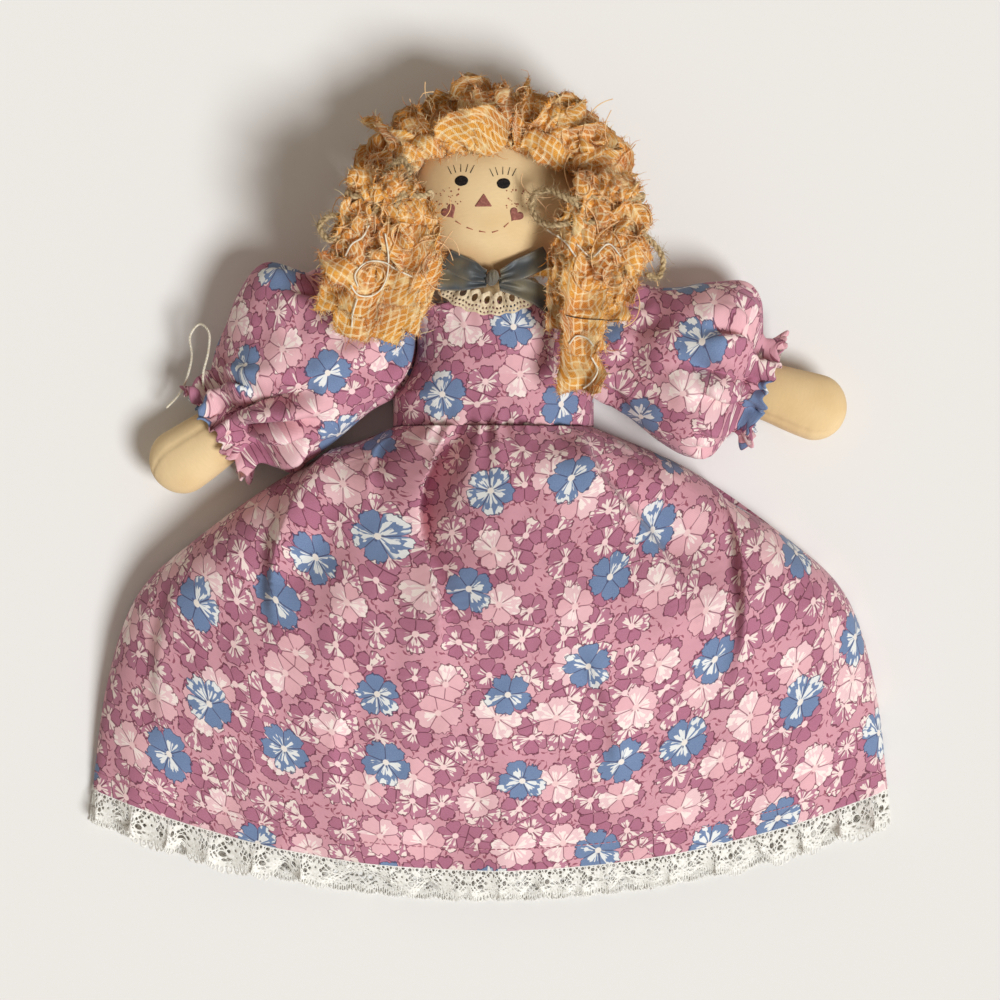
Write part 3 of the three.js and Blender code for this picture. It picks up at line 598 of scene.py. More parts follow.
def homespun():
    """Loose cotton check: orange and gold yarns, with fine cream yarns in threes as lines."""
    f = Finish("orange homespun check", Roughness=0.95, Sheen_Weight=0.2, Specular_IOR_Level=0.15)
    place = f.cloth_place()
    wander = f.grain(place, 0.3, 1.0, colour=True)
    bent = f.vector("MULTIPLY_ADD", wander, (0.9, 0.9, 0.0), place)
    x, y, _ = f.split(bent)
    lines = []
    for way in (x, y):
        middle = f.math("ABSOLUTE", f.minus(f.math("FRACT", f.math("DIVIDE", way, HOMESPUN_CHECK)), 0.5))
        yarns = f.times_plus(f.math("SINE", f.times(way, 2 * math.pi / 0.42)), 0.35, 0.65)
        lines.append(f.times(f.step(middle, 0.34, 0.41), yarns))
    weave = f.weave(bent, 0.6)
    patch = f.grain(f.object_place(), 0.1, 2.0)
    # Cream patches set by noise: painted highlights, where light would catch the strips
    pale_patches = f.grain(f.object_place(), 0.22, 3.0)
    fuzz = f.grain(place, 1.1, 4.0, 0.6)
    colour = f.blend(f.step(patch, 0.3, 0.7), srgb(208, 116, 26), srgb(238, 164, 56))
    colour = f.blend(f.times(f.step(fuzz, 0.45, 0.7), 0.5), colour, srgb(168, 82, 16))
    colour = f.blend(f.times(f.step(weave, 0.5, 0.95), 0.5), colour, srgb(250, 218, 150))
    colour = f.blend(f.times(f.math("MAXIMUM", *lines), 0.8), colour, srgb(253, 236, 188))
    colour = f.blend(f.times(*lines), colour, srgb(254, 244, 216))
    # Painted highlight: pale cream in the noise patches
    colour = f.blend(f.times(f.step(pale_patches, 0.54, 0.7), 0.6), colour, srgb(250, 226, 168))
    f.raised(f.times_plus(weave, 0.8, fuzz), 0.2, 0.9)
    return f.colour(colour)


def plain_thread(name, low, high, scale=1.2, roughness=0.9, rough_height=0.05):
    """Spun thread or lace cotton: two tones and a fine bump."""
    f = Finish(name, Roughness=roughness, Sheen_Weight=0.1, Specular_IOR_Level=0.25)
    place = f.object_place()
    tone = f.grain(place, scale, 3.0)
    f.raised(f.grain(place, 3.2, 2.0), rough_height, 0.8)
    return f.colour(f.blend(f.step(tone, 0.3, 0.7), low, high))


def satin():
    """Grey blue ribbon with brassy sheen painted on in patches, shiny along its length."""
    f = Finish("grey satin", Roughness=0.5, Specular_IOR_Level=0.45, Sheen_Weight=0.3, Metallic=0.15)
    place = f.cloth_place()
    x, _, _ = f.split(place)
    ribs = f.grain(f.vector("MULTIPLY", place, (0.4, 5.0, 1.0)), 1.0, 2.0)
    # Brassy patches set by noise: painted sheen, where the satin would catch the light
    turn = f.grain(f.object_place(), 0.11, 1.0)
    colour = f.blend(f.step(turn, 0.36, 0.62), srgb(74, 78, 80), srgb(128, 116, 86))
    colour = f.blend(f.times(ribs, 0.5), colour, srgb(62, 68, 74))
    edge = f.step(f.math("ABSOLUTE", x), 2.75, 2.95)
    colour = f.blend(f.times(edge, 0.6), colour, srgb(120, 112, 96))
    f.raised(f.plus(ribs, f.times(edge, f.weave(place, 0.8))), 0.06, 0.6)
    return f.colour(colour)


def paint(name, low, high):
    """Ink or paint that has sunk into the weave."""
    f = Finish(name, Roughness=0.8, Specular_IOR_Level=0.2)
    place = f.object_place()
    pale_patches = f.grain(place, 1.6, 2.0)
    f.raised(f.weave(place, 0.5), 0.06, 0.5)
    return f.colour(f.blend(f.step(pale_patches, 0.35, 0.75), low, high))


CALICO = calico()
MUSLIN = muslin("tea dyed muslin")
FACE_MUSLIN = muslin("tea dyed face muslin", brown_rim=True)
HOMESPUN = homespun()
LACE = plain_thread("white lace cotton", srgb(226, 222, 212), srgb(244, 242, 236))
CREAM_LACE = plain_thread("cream lace cotton", srgb(200, 178, 144), srgb(232, 214, 182))
SATIN = satin()
TWINE = plain_thread("jute twine", srgb(158, 132, 92), srgb(214, 190, 148), 0.9, 0.95, 0.12)
THREAD = plain_thread("cream thread", srgb(222, 212, 188), srgb(240, 234, 216))
ROSE_THREAD = plain_thread("rose thread", srgb(176, 112, 128), srgb(206, 150, 160))
DARK_THREAD = plain_thread("dark thread", srgb(46, 38, 36), srgb(66, 54, 48))
BLACK_INK = paint("black ink", srgb(22, 20, 20), srgb(44, 38, 36))
ROSE_INK = paint("rose ink", srgb(138, 84, 74), srgb(168, 110, 96))
FRECKLE_INK = paint("freckle ink", srgb(158, 92, 70), srgb(186, 122, 98))


# Camera


def photo_camera():
    """Looks straight down, as the photograph does, from far enough to keep sizes true."""
    camera = bpy.data.objects.new("camera", bpy.data.cameras.new("camera"))
    scene.collection.objects.link(camera)
    camera.data.lens = 150
    camera.location = (0.003, -0.0405, 1.27)
    scene.camera = camera


photo_camera()


# Twine and thread

TWINE_WIDTH, TWINE_PITCH, THREAD_WIDTH, THREAD_PITCH = 1.8, 4.2, 0.8, 1.9


def twisted(name, line, diameter, pitch, sides=8):
    """Two plies twisted round each other along a line."""
    count = int(length_of(line) / 0.32)
    line = evenly(line, count)
    _, side, up = directions(line)
    way = np.linspace(0, length_of(line), count)
    parts = []
    for ply in range(2):
        turn = way / pitch * 2 * math.pi + ply * math.pi
        offset = diameter * 0.24
        centre = line + (side * np.cos(turn)[:, None] + up * np.sin(turn)[:, None]) * offset
        parts.append(strand(centre, diameter * 0.3, sides))
    return from_parts(name, parts)


def fuzz(name, line, diameter, count, length, seed):
    """Short fibres that stand off a twine."""
    rng = random.Random(seed)
    _, side, up = directions(line)
    places, ways = [], []
    for _ in range(count):
        i = rng.randrange(len(line))
        turn = rng.uniform(0, 2 * math.pi)
        way = side[i] * math.cos(turn) + up[i] * math.sin(turn)
        places.append(line[i] + way * diameter * 0.4)
        ahead = np.cross(side[i], up[i])
        ways.append(way + ahead * rng.choice((-1, 1)) * rng.uniform(0.5, 2))
    return from_parts(name, [hairs(places, ways, seed, length, 0.07, 0.35)])


LEFT_TWINE = [
    (-28, 45, 50.4), (-25, 50.5, 49.6), (-23.5, 56, 47), (-26, 59.5, 45.5), (-29.5, 56.5, 46),
    (-31.2, 51, 48.6), (-32.2, 46, 49.6), (-35.5, 42.5, 49.4), (-41, 42, 48.2), (-46.5, 43, 47),
    (-50, 40, 46), (-47.5, 36, 46), (-43.8, 37, 47.4),
]
RIGHT_TWINE = [
    (28, 44.5, 49.6), (22.5, 47.8, 50), (17.5, 50.5, 46.5), (13.2, 49.5, 43.5), (12.4, 45, 42.5),
    (15.2, 41.2, 43.6), (19.8, 40.2, 47.4), (25, 41, 48.6), (33, 41, 48.4), (41, 39.5, 47.6),
    (47.5, 35.5, 45.5), (51, 30, 44), (49.5, 25, 43), (46, 25.8, 45),
]
CUFF_THREAD = [
    (-86.2, -8.4, 15.2), (-86.2, -2.5, 18), (-84.5, 4, 20), (-84.5, 10, 18), (-87.5, 12.5, 15),
    (-90.5, 9, 13), (-90, 3, 12.5), (-91.5, -3.5, 12), (-94, -8.5, 10.5), (-98, -12.5, 8),
]


def twine_bow(side, route):
    line = through(route)
    bow = twisted(f"{side}_bow_twine", line, TWINE_WIDTH, TWINE_PITCH)
    dress(bow, TWINE, f"{side}_bunch", [f"{side}_twine_bow"])
    fibres = dress(
        fuzz(f"{side}_bow_fibres", line, TWINE_WIDTH, 700, 3.0, 5), TWINE, f"{side}_bunch"
    )


twine_bow("left", LEFT_TWINE)
twine_bow("right", RIGHT_TWINE)

cuff_line = through(CUFF_THREAD)
cuff_thread = twisted("cuff_thread", cuff_line, THREAD_WIDTH, THREAD_PITCH, 6)
dress(cuff_thread, THREAD, "left_arm", ["left_cuff_thread"])


# Stuffed pieces

HEAD_SHARES = [0.25, 0.62, 0.78, 0.9, 0.98, 1, 0.99, 0.94, 0.84, 0.64, 0.3]
TORSO_SHARES = [0.55, 0.86, 0.95, 0.97, 0.98, 0.99, 1, 1, 0.96, 0.84, 0.4]
ARM_SHARES = [0.4, 0.8, 0.85, 0.85, 0.85, 0.85, 0.86, 0.9, 0.97, 1.02, 1]
LEG_SHARES = [0.45, 0.86, 0.98, 1, 0.98, 0.93, 0.88, 0.86, 0.92, 1, 1]


def pillow_half(half_width, shares, length, rounds, share):
    """Half width at a share of the length, rounded off over the given lengths at its two ends."""
    half = half_width * along(shares, share)
    for end, reach in zip((share * length, (1 - share) * length), rounds):
        if end < reach:
            half *= math.sqrt(max(1 - (1 - end / reach) ** 2, 0))
    return half


def pillow(
    name, body, at, turn, length, half_width, half_depth, middle_z, shares, rounds,
    seam=0, full=2, rows=84, columns=72, pucker=0.45, finish=None,
):
    """A stuffed form with a sewn seam all round, puckered along the seam. The seam angle turns the
    seam round the form, from its side towards its front."""
    angle, seam_turn = math.radians(turn), math.radians(seam)
    points = np.zeros((rows + 1, columns + 1, 3))
    for row in range(rows + 1):
        sigma = 2 * row / rows - 1
        share = math.sin(sigma * math.pi / 2)
        half = pillow_half(half_width, shares, length, rounds, (share + 1) / 2)
        depth = half_depth * math.sqrt(max(1 - abs(share) ** full, 0))
        reach = length / 2 * (1 + share)
        for column in range(columns + 1):
            around = 2 * math.pi * column / columns - math.pi
            side, rise = math.sin(around), math.cos(around)
            off_seam = min(abs((around - math.pi / 2 - seam_turn + math.pi) % (2 * math.pi) - math.pi),
                           abs((around + math.pi / 2 - seam_turn + math.pi) % (2 * math.pi) - math.pi))
            gap = off_seam * max(half, depth)
            wave = wander(reach * 0.55, side * 2, seam + middle_z)
            shrink = 0.5 * math.exp(-((gap / 0.7) ** 2)) + pucker * wave * math.exp(-gap / 2.6)
            shrink += 0.35 * wander(reach * 0.09, side * 1.2, rise * 1.2 + middle_z)
            factor = 1 - shrink / max(half, depth, 3)
            points[row, column] = (
                at[0] + reach * math.cos(angle) - half * side * factor * math.sin(angle),
                at[1] + reach * math.sin(angle) + half * side * factor * math.cos(angle),
                middle_z + depth * rise * factor,
            )
    piece = from_grid(name, points)
    close_up(piece)
    base = name.replace("_form", "")
    replaced = [f"{base}_front_panel", f"{base}_back_panel", f"{base}_stuffing"]
    dress(piece, finish or MUSLIN, body, replaced)
    return piece


head_form = pillow(
    "head_form",
    "head",
    (BODY_X, CHIN_Y),
    90,
    HEAD_LENGTH,
    HEAD_HALF_WIDTH,
    HEAD_HALF_DEPTH,
    HEAD_MIDDLE_Z,
    HEAD_SHARES,
    (3, 3),
    rows=110,
    columns=96,
    pucker=0.12,
    finish=FACE_MUSLIN,
)
head_front = front_of(head_form)
torso_base = (BODY_X, TORSO_TOP - TORSO_LENGTH)
torso_form = pillow(
    "torso_form", "doll_body", torso_base, 90, TORSO_LENGTH, 21, 13.5, 15, TORSO_SHARES, (2, 2)
)
torso_front = front_of(torso_form)

LEFT_TURN, RIGHT_TURN = 213.5, -18.5
ARM_BACK = NOSE * math.cos(math.radians(15)) - 1.6


def arm(side, sign, turn, reach, seam):
    angle = math.radians(turn)
    x = BODY_X + sign * SHOULDER_REACH - ARM_BACK * math.cos(angle)
    at = (x, SHOULDER_Y - ARM_BACK * math.sin(angle))
    name, body = f"{side}_arm_form", f"{side}_arm"
    pillow(name, body, at, turn, ARM_BACK + reach, 9.8, 7.4, 12, ARM_SHARES, (2, 9.5), seam, full=5)


arm("left", -1, LEFT_TURN, 72.4, 60)
arm("right", 1, RIGHT_TURN, 67.9, 38)
for side, sign in (("left", -1), ("right", 1)):
    hip = (BODY_X + sign * 13, -44.1)
    pillow(f"{side}_leg_form", f"{side}_leg", hip, -90, 84, 8.6, 7, 8.8, LEG_SHARES, (2, 8), full=5)


def neck():
    """Short stuffed neck between the body and the head, gathered by the ribbon."""
    points = np.zeros((17, 41, 3))
    for row in range(17):
        share = row / 16
        y = mix(NECK_Y - 6.4, NECK_Y + 6.4, share)
        waist = 1 - 0.16 * math.sin(math.pi * share)
        closed = math.sqrt(max(1 - (2 * share - 1) ** 8, 0))
        for column in range(41):
            around = 2 * math.pi * column / 40
            pleat = 1 + 0.03 * math.sin(around * 13)
            points[row, column] = (
                BODY_X + 7.6 * waist * closed * pleat * math.sin(around),
                y,
                NECK_Z + 8.4 * waist * closed * pleat * math.cos(around),
            )
    piece = from_grid("neck_form", points)
    close_up(piece)
    dress(piece, MUSLIN, None, ["neck"])
    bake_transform(piece)


neck()


# Face


def painted_patch(outline, rings=4, lift=0.12):
    """A patch of paint on the face, as a part: rings from its middle to its outline."""
    outline = np.array(outline, float)
    middle = outline.mean(axis=0)
    count = len(outline)
    flat = [middle]
    for ring in range(1, rings + 1):
        flat.extend(middle + (outline - middle) * ring / rings)
    points = [(*p, head_front(*p) + lift) for p in flat]
    points += [(*p, head_front(*p) - 0.3) for p in outline]
    faces = [(0, 1 + k, 1 + (k + 1) % count) for k in range(count)]
    for ring in range(rings):
        low = 1 + ring * count
        high = low + count
        faces += [(low + k, high + k, high + (k + 1) % count, low + (k + 1) % count) for k in range(count)]
    faces.append(tuple(range(1 + rings * count + count - 1, rings * count, -1)))
    return points, faces, (0, 0)


def oval(x, y, wide, tall, lean=0.0, count=28, uneven=0.05, seed=0):
    turn = math.radians(lean)
    outline = []
    for k in range(count):
        angle = 2 * math.pi * k / count
        grow = 1 + uneven * wander(math.cos(angle) * 2, math.sin(angle) * 2, seed)
        a, b = wide / 2 * math.cos(angle) * grow, tall / 2 * math.sin(angle) * grow
        outline.append(moved(x, y, a, b, turn))
    return outline


def heart(x, y, size, lean):
    turn = math.radians(lean)
    outline = []
    for k in range(40):
        t = 2 * math.pi * k / 40
        a = size / 34 * 16 * math.sin(t) ** 3
        b = size / 34 * (13 * math.cos(t) - 5 * math.cos(2 * t) - 2 * math.cos(3 * t) - math.cos(4 * t))
        outline.append(moved(x, y, a, b, turn))
    return outline


def dash(start, end, wide):
    start, end = np.array(start, float), np.array(end, float)
    way = (end - start) / np.linalg.norm(end - start)
    side = np.array([-way[1], way[0]]) * wide / 2
    steps = np.linspace(0, 1, 7)
    upper = [start + (end - start) * s + side * (1 - 0.5 * s) for s in steps]
    lower = [start + (end - start) * s - side * (1 - 0.5 * s) for s in reversed(steps)]
    return upper + lower


def face():
    eyes = [(-8.4, 54.0), (4.05, 53.1)]
    black = [painted_patch(oval(x, y, 4.0, 3.1, 4, seed=i)) for i, (x, y) in enumerate(eyes)]
    lashes = [(-3.0, 2.1, -1.1), (-1.7, 2.5, -0.7), (-0.2, 2.7, 0), (1.3, 2.6, 0.6), (2.6, 2.3, 1.2)]
    for x, y in eyes:
        for across, up, lean in lashes:
            foot = (x + across, y + up)
            black.append(painted_patch(dash(foot, (foot[0] + lean, foot[1] + 2.3), 0.26), 2))
    dress(from_parts("face_eyes", black), BLACK_INK, "head")
    corner = [(-4.6, 46.3), (0.7, 46.3), (-1.8, 50.2)]
    nose = []
    for k in range(3):
        a, b = np.array(corner[k]), np.array(corner[(k + 1) % 3])
        nose += [tuple(mix(a, b, s)) for s in (0.05, 0.2, 0.4, 0.6, 0.8, 0.95)]
    cheeks = [heart(-12.1, 45.0, 4.9, 33), heart(7.7, 43.9, 4.7, -36)]
    rose = [painted_patch(outline) for outline in [nose, *cheeks]]
    dress(from_parts("face_nose_and_cheeks", rose), ROSE_INK, "head")
    smile = [(-10.2, 42.2), (-7.2, 40.4), (-3, 39.1), (0.9, 38.8), (3.6, 39.9), (5.6, 41.6)]
    mouth = evenly(through([(*p, 0) for p in smile], 8), 37)[:, :2]
    stitches = [painted_patch(dash(mouth[k], mouth[k + 4], 0.4), 2) for k in range(0, 33, 8)]
    rng = random.Random(4)
    freckles = []
    for middle, count in (((-12.4, 49.6), 24), ((8.4, 48.5), 24)):
        for _ in range(count):
            x, y = middle[0] + rng.uniform(-3.8, 3.8), middle[1] + rng.uniform(-2.9, 2.9)
            size = rng.uniform(0.3, 0.55)
            freckles.append(painted_patch(oval(x, y, size, size, count=8), 1))
    dress(from_parts("face_mouth_and_freckles", stitches + freckles), FRECKLE_INK, "head")


face()


# Dress


def bodice_half(y):
    reach = NOSE + 0.3
    if abs(y - SHOULDER_Y) >= reach:
        return 30.5
    return min(30.5, SHOULDER_REACH - math.sqrt(reach**2 - (y - SHOULDER_Y) ** 2))


def bodice():
    """Front from the waist seam to the neckline, then drawn in over the shoulders to the neck."""
    rows, columns, closing = 56, 96, 14
    points = np.zeros((rows + closing + 1, columns + 1, 3))
    for row in range(rows + closing + 1):
        share = min(row / rows, 1)
        y = mix(WAIST_Y - 0.2, NECKLINE_Y, share)
        half = bodice_half(y)
        for column in range(columns + 1):
            across = 2 * column / columns - 1
            turn = across * math.pi / 2
            lift = max(math.cos(turn), 0) ** 0.62
            pull = wander(across * 2.2, y * 0.06, 3.1) * 1.1
            side = abs(across)
            drag = 0.8 * math.sin(y * 0.35 + side * 9) * smooth(0.45, 0.95, side) * smooth(-18, -6, y)
            gather = 0.55 * math.sin(across * 41 + 2 * math.sin(across * 7))
            gather *= math.exp(-abs(y - WAIST_Y) / 4.5)
            pucker = 0.45 * math.sin(across * 47) * math.exp(-abs(y - NECKLINE_Y) / 5)
            rise = (FRONT_Z - BASE_Z) * lift + (pull - 0.5 + drag + gather + pucker) * lift
            height = BASE_Z + min(rise, FRONT_Z - BASE_Z + 0.6) - 0.5 * side**20
            rim = np.array([BODY_X + half * math.sin(turn), y, height])
            if row > rows:
                inward = (row - rows) / closing
                around = across * math.radians(150)
                ring = (BODY_X + 8.0 * math.sin(around), NECKLINE_Y - 0.6, NECK_Z + 8.8 * math.cos(around))
                rim = mix(rim, np.array(ring), inward)
                rim[1] += 0.9 * math.sin(math.pi * inward) * (1 + 0.5 * math.sin(across * 47))
            points[row, column] = rim
    piece = from_grid("dress_bodice_front", points, (13, 40))
    thicken(piece, 0.45)
    dress(piece, CALICO, "doll_body", ["bodice_front"])

    back = np.zeros((31, 41, 3))
    for row in range(31):
        y = mix(WAIST_Y, NECKLINE_Y, row / 30)
        for column in range(41):
            across = 2 * column / 40 - 1
            crease = 0.35 * wander(across * 3, y * 0.12, 9.2) * (1 - abs(across) ** 6)
            height = 0.5 + max(crease, -0.3) + 0.5 * abs(across) ** 8
            back[row, column] = (BODY_X + bodice_half(y) * across, y, height)
    piece = from_grid("dress_bodice_back", back[:, ::-1], (90, 0))
    thicken(piece, 0.4)
    dress(piece, CALICO, "doll_body", ["bodice_back"])


bodice()

EDGE = [(0, 0), (0.33, 0.12), (0.66, 0.31), (0.857, 0.47), (0.956, 0.72), (1, 1)]
CREST = [0.73, 0.92, 1, 0.94, 0.68, 0.28]
# Swells and hollows of the skirt: where across and down, how wide and long, and the share of its height
SWELLS = [
    (-0.18, 0.16, 0.07, 0.2, -0.16),
    (0.44, 0.34, 0.15, 0.12, -0.2),
    (-0.42, 0.42, 0.12, 0.16, -0.14),
    (0.08, 0.55, 0.22, 0.3, 0.06),
    (0.12, 0.11, 0.2, 0.08, 0.05),
]
# Folds that run down from the waist: their line in the plan, the side of the valley, the height and
# width of the ridge, the depth and width of the valley, how far the ridge hangs over it, and the
# extra depth right under the ridge
FOLDS = [
    ([(-8, -17.5), (-18, -24), (-24, -37), (-24, -52), (-18, -70), (-14, -96)],
     1, 4.0, 6.5, 10.0, 8.0, 4.5, 6.0),
    ([(24, -17), (31, -34), (45, -51), (54, -66), (57, -88)], 1, 3.4, 6.5, 6.5, 11.0, 2.0, 1.0),
    ([(68, -28), (75, -46), (77.5, -62), (77, -80), (72, -102)], -1, 4.2, 7.0, 7.0, 12.0, 2.0, 1.0),
    ([(-44, -22), (-57, -42), (-63, -62), (-63, -88)], -1, 3.8, 6.5, 7.0, 11.0, 2.0, 1.0),
    ([(-34, -19), (-38, -30), (-37, -46)], 1, 1.6, 3.0, 4.6, 5.0, 1.6, 2.5),
    ([(8, -18.5), (9, -26), (11, -36)], 1, 0.6, 3.0, 1.8, 4.0, 0.5, 1.0),
    ([(-92, -64), (-98, -88), (-97, -116)], -1, 1.6, 6.0, 4.0, 9.0, 1.0, 1.5),
    ([(96, -66), (101, -90), (99, -118)], 1, 1.4, 6.0, 3.4, 9.0, 1.0, 1.5),
    ([(30, -84), (37, -104), (40, -130)], -1, 1.2, 7.0, 2.6, 10.0, 0.4, 0),
    ([(-44, -96), (-48, -116), (-47, -134)], 1, 1.2, 7.0, 2.6, 10.0, 0.4, 0),
]
FOLD_LINES = [evenly(through([(*p, 0) for p in fold[0]]), 40)[:, :2] for fold in FOLDS]
FOLD_WAYS = [np.gradient(line, axis=0) for line in FOLD_LINES]


def folds_at(x, y):
    """How far the folds lift the skirt at a place in the plan, and how far they push it sideways."""
    rise, push = 0.0, np.zeros(2)
    for line, ways, fold in zip(FOLD_LINES, FOLD_WAYS, FOLDS):
        sign, ridge, ridge_width, valley, valley_width, lip, cleft = fold[1:]
        off = (x, y) - line
        nearest = int(np.argmin((off**2).sum(axis=1)))
        gap = math.hypot(*off[nearest])
        if gap > 40:
            continue
        way = ways[nearest] / np.linalg.norm(ways[nearest])
        side = math.copysign(gap, (way[0] * off[nearest][1] - way[1] * off[nearest][0]) * sign)
        share = nearest / 39
        strength = smooth(-0.05, 0.12, share) * (1 - smooth(0.5, 1, share))
        strength *= 1 if 0 < nearest < 39 else math.exp(-gap / 6)
        if side > 0:
            valley_width *= mix(0.55, 1.3, share)
            drop, hollow = math.exp(-((side / 3.0) ** 2)), math.exp(-side / valley_width)
            rise += strength * ((ridge + valley) * drop - valley * hollow)
            rise -= strength * cleft * math.exp(
                -(((side - 4.0) / 2.4) ** 2)
            ) * (1 - smooth(0.3, 0.6, share))
            lean = max(1 - side / 3.4, 0)
        else:
            rise += strength * ridge * math.exp(-((side / ridge_width) ** 2))
            lean = math.exp(-((side / ridge_width) ** 2))
        push += np.array([-way[1], way[0]]) * sign * strength * lip * lean
    return rise, push


def skirt_plan(across, down):
    edge = along(EDGE, down)
    half = WAIST_HALF_WIDTH + SKIRT_FLARE * edge[0]
    turn = across * math.pi / 2
    y = WAIST_Y - 0.3 - SKIRT_DROP * edge[1] - HEM_BOW * down * math.cos(turn) ** 2
    return BODY_X * (1 - down) + half * math.sin(turn), y, half


def skirt_point(across, down, folded=1):
    x, y, _ = skirt_plan(across, down)
    swell = 1
    for a, d, wide, long, high in SWELLS:
        swell += high * math.exp(-(((across - a) / wide) ** 2) - ((down - d) / long) ** 2)
    arch = max(math.cos(across * math.pi / 2), 0)
    crest = SKIRT_CREST * along(CREST, down) * swell
    waist = (FRONT_Z - BASE_Z) * (1 - min(down / 0.2, 1))
    gather = math.sin(across * 52 + 3 * math.sin(across * 5)) * math.exp(-down / 0.07)
    gather += math.sin(across * 29 + 2 * math.sin(across * 9)) * 1.1 * math.exp(-down / 0.2)
    soft = wander(x * 0.04, y * 0.04, 1.7) * 2.6 + wander(x * 0.12, y * 0.12, 5.1) * 0.9
    hem = 1.3 * math.sin(across * 17 + 1.4 * math.sin(across * 8)) * smooth(0.75, 1, down)
    hem_fold = -0.4 * math.exp(-((((1 - down) / 0.012) - 3.8) ** 2))
    folds = 0
    if folded:
        fold_rise, push = folds_at(x, y)
        folds = gather + (soft + fold_rise) * smooth(0, 0.15, down) + hem + hem_fold
        x, y = (x, y) + push * smooth(0, 0.15, down)
    rise = max(crest, waist) + folds
    height = BASE_Z + rise * arch ** mix(0.6, 0.85, down) - 0.5 * abs(across) ** 24
    return np.array([x, y, max(height, torso_front(x, y, 0) + 0.9)])


def hem_stitches():
    """Running stitches along the folded hem."""
    parts = []
    for share in np.arange(-0.985, 0.985, 0.0098):
        line = [skirt_point(share + step * 0.0042, 0.951) for step in (-1, -0.6, 0, 0.6, 1)]
        line = np.array(line) + [(0, 0, lift) for lift in (-0.35, 0.1, 0.2, 0.1, -0.35)]
        parts.append(strand(line, 0.17, 4))
    dress(from_parts("hem_stitches", parts), ROSE_THREAD, "doll_body")


def skirt():
    rows, columns = 160, 270
    places = [[(2 * c / columns - 1, r / rows) for c in range(columns + 1)] for r in range(rows + 1)]
    points, plain = (
        np.array([[skirt_point(*place, folded) for place in row] for row in places])
        for folded in (1, 0)
    )
    piece = from_grid("dress_skirt_front", points[::-1], (0, 0), laid_out(plain)[::-1] * (1, -1))
    thicken(piece, 0.45)
    dress(piece, CALICO, "doll_body", ["skirt_front_panel"])
    hem_stitches()

    rows, columns = 60, 90
    back = np.zeros((rows + 1, columns + 1, 3))
    for r in range(rows + 1):
        for c in range(columns + 1):
            across, down = 2 * c / columns - 1, r / rows
            edge = along(EDGE, down)
            half = WAIST_HALF_WIDTH + SKIRT_FLARE * edge[0]
            x = BODY_X * (1 - down) + half * across
            y = WAIST_Y - 0.3 - SKIRT_DROP * edge[1] - HEM_BOW * down * (1 - across * across)
            crease = 0.5 * wander(x * 0.05, y * 0.09, 7.7) * (1 - abs(across) ** 6)
            pleat = 0.2 * math.sin(across * 33) * math.exp(-down / 0.12)
            back[r, c] = (x, y, max(0.5 + crease + pleat + 0.5 * abs(across) ** 10, 0.42))
    piece = from_grid("dress_skirt_back", back, (55, 30))
    thicken(piece, 0.4)
    dress(piece, CALICO, "doll_body", ["skirt_back_panel"])


skirt()

# Rows past the round end: reach, width towards the crown, width away from it and half depth
LEFT_ROWS = [
    (0, 1, 1, 1), (9, 35, 18.9, 15.74), (21, 31.5, 20.37, 16.4), (30, 24.5, 21, 16.07),
    (37, 18.55, 19.3, 14.1), (42, 12.95, 11.55, 9.84), (45.5, 12.95, 11.55, 9.84), (50, 15.4, 13.9, 11.15),
]
RIGHT_ROWS = [
    (0, 1, 1, 1), (8.6, 21.3, 21.3, 15.4), (18, 25.8, 24.7, 16.4), (26.7, 28, 26, 16.4),
    (32.7, 23.5, 23.4, 14.1), (36.6, 12.9, 13, 9.84), (39.1, 12.9, 13, 9.84), (43, 15.7, 16.1, 11.15),
]


# Deep folds of each sleeve at the cuff: degrees round it, their change per mm, length, depth, width
CUFF_FOLDS = {
    "left": [
        (25, 4.2, 16, 8.0, 1.9), (70, 1.3, 32, 10.0, 2.2), (96, 1.6, 28, 9.0, 2.0), (122, 1.0, 20, 7.0, 1.9)
    ],
    "right": [(87, 0.2, 26, 9.5, 2.2), (125, -1.1, 19, 8.5, 2.1), (52, 0.6, 22, 7.5, 2.0)],
}


def puckers(rng, count, longest, deepest):
    """Folds that fan out from a gathered edge: angle round it and its change, length, depth and width."""
    step = 2 * math.pi / count
    folds = []
    for k in range(count):
        angle, length = step * (k + rng.uniform(-0.35, 0.35)), longest * rng.uniform(0.35, 1)
        folds.append((angle, 0, length, deepest * rng.uniform(0.3, 1), rng.uniform(1.3, 3.0)))
    return folds


def pucker_depth(folds, around, way, radius):
    """How far the folds sink the cloth, at a way from the gathered edge."""
    depth = 0
    for angle, drift, length, deep, wide in folds:
        if way < length:
            off = abs((around - angle - drift * way + math.pi) % (2 * math.pi) - math.pi) * radius
            wide *= 1 + way / 45
            sunk = math.exp(-((off / wide) ** 2)) - 0.35 * math.exp(-(((off - 2.2 * wide) / wide) ** 2))
            depth += deep * (1 - smooth(0.45, 1, way / length)) * sunk
    return depth


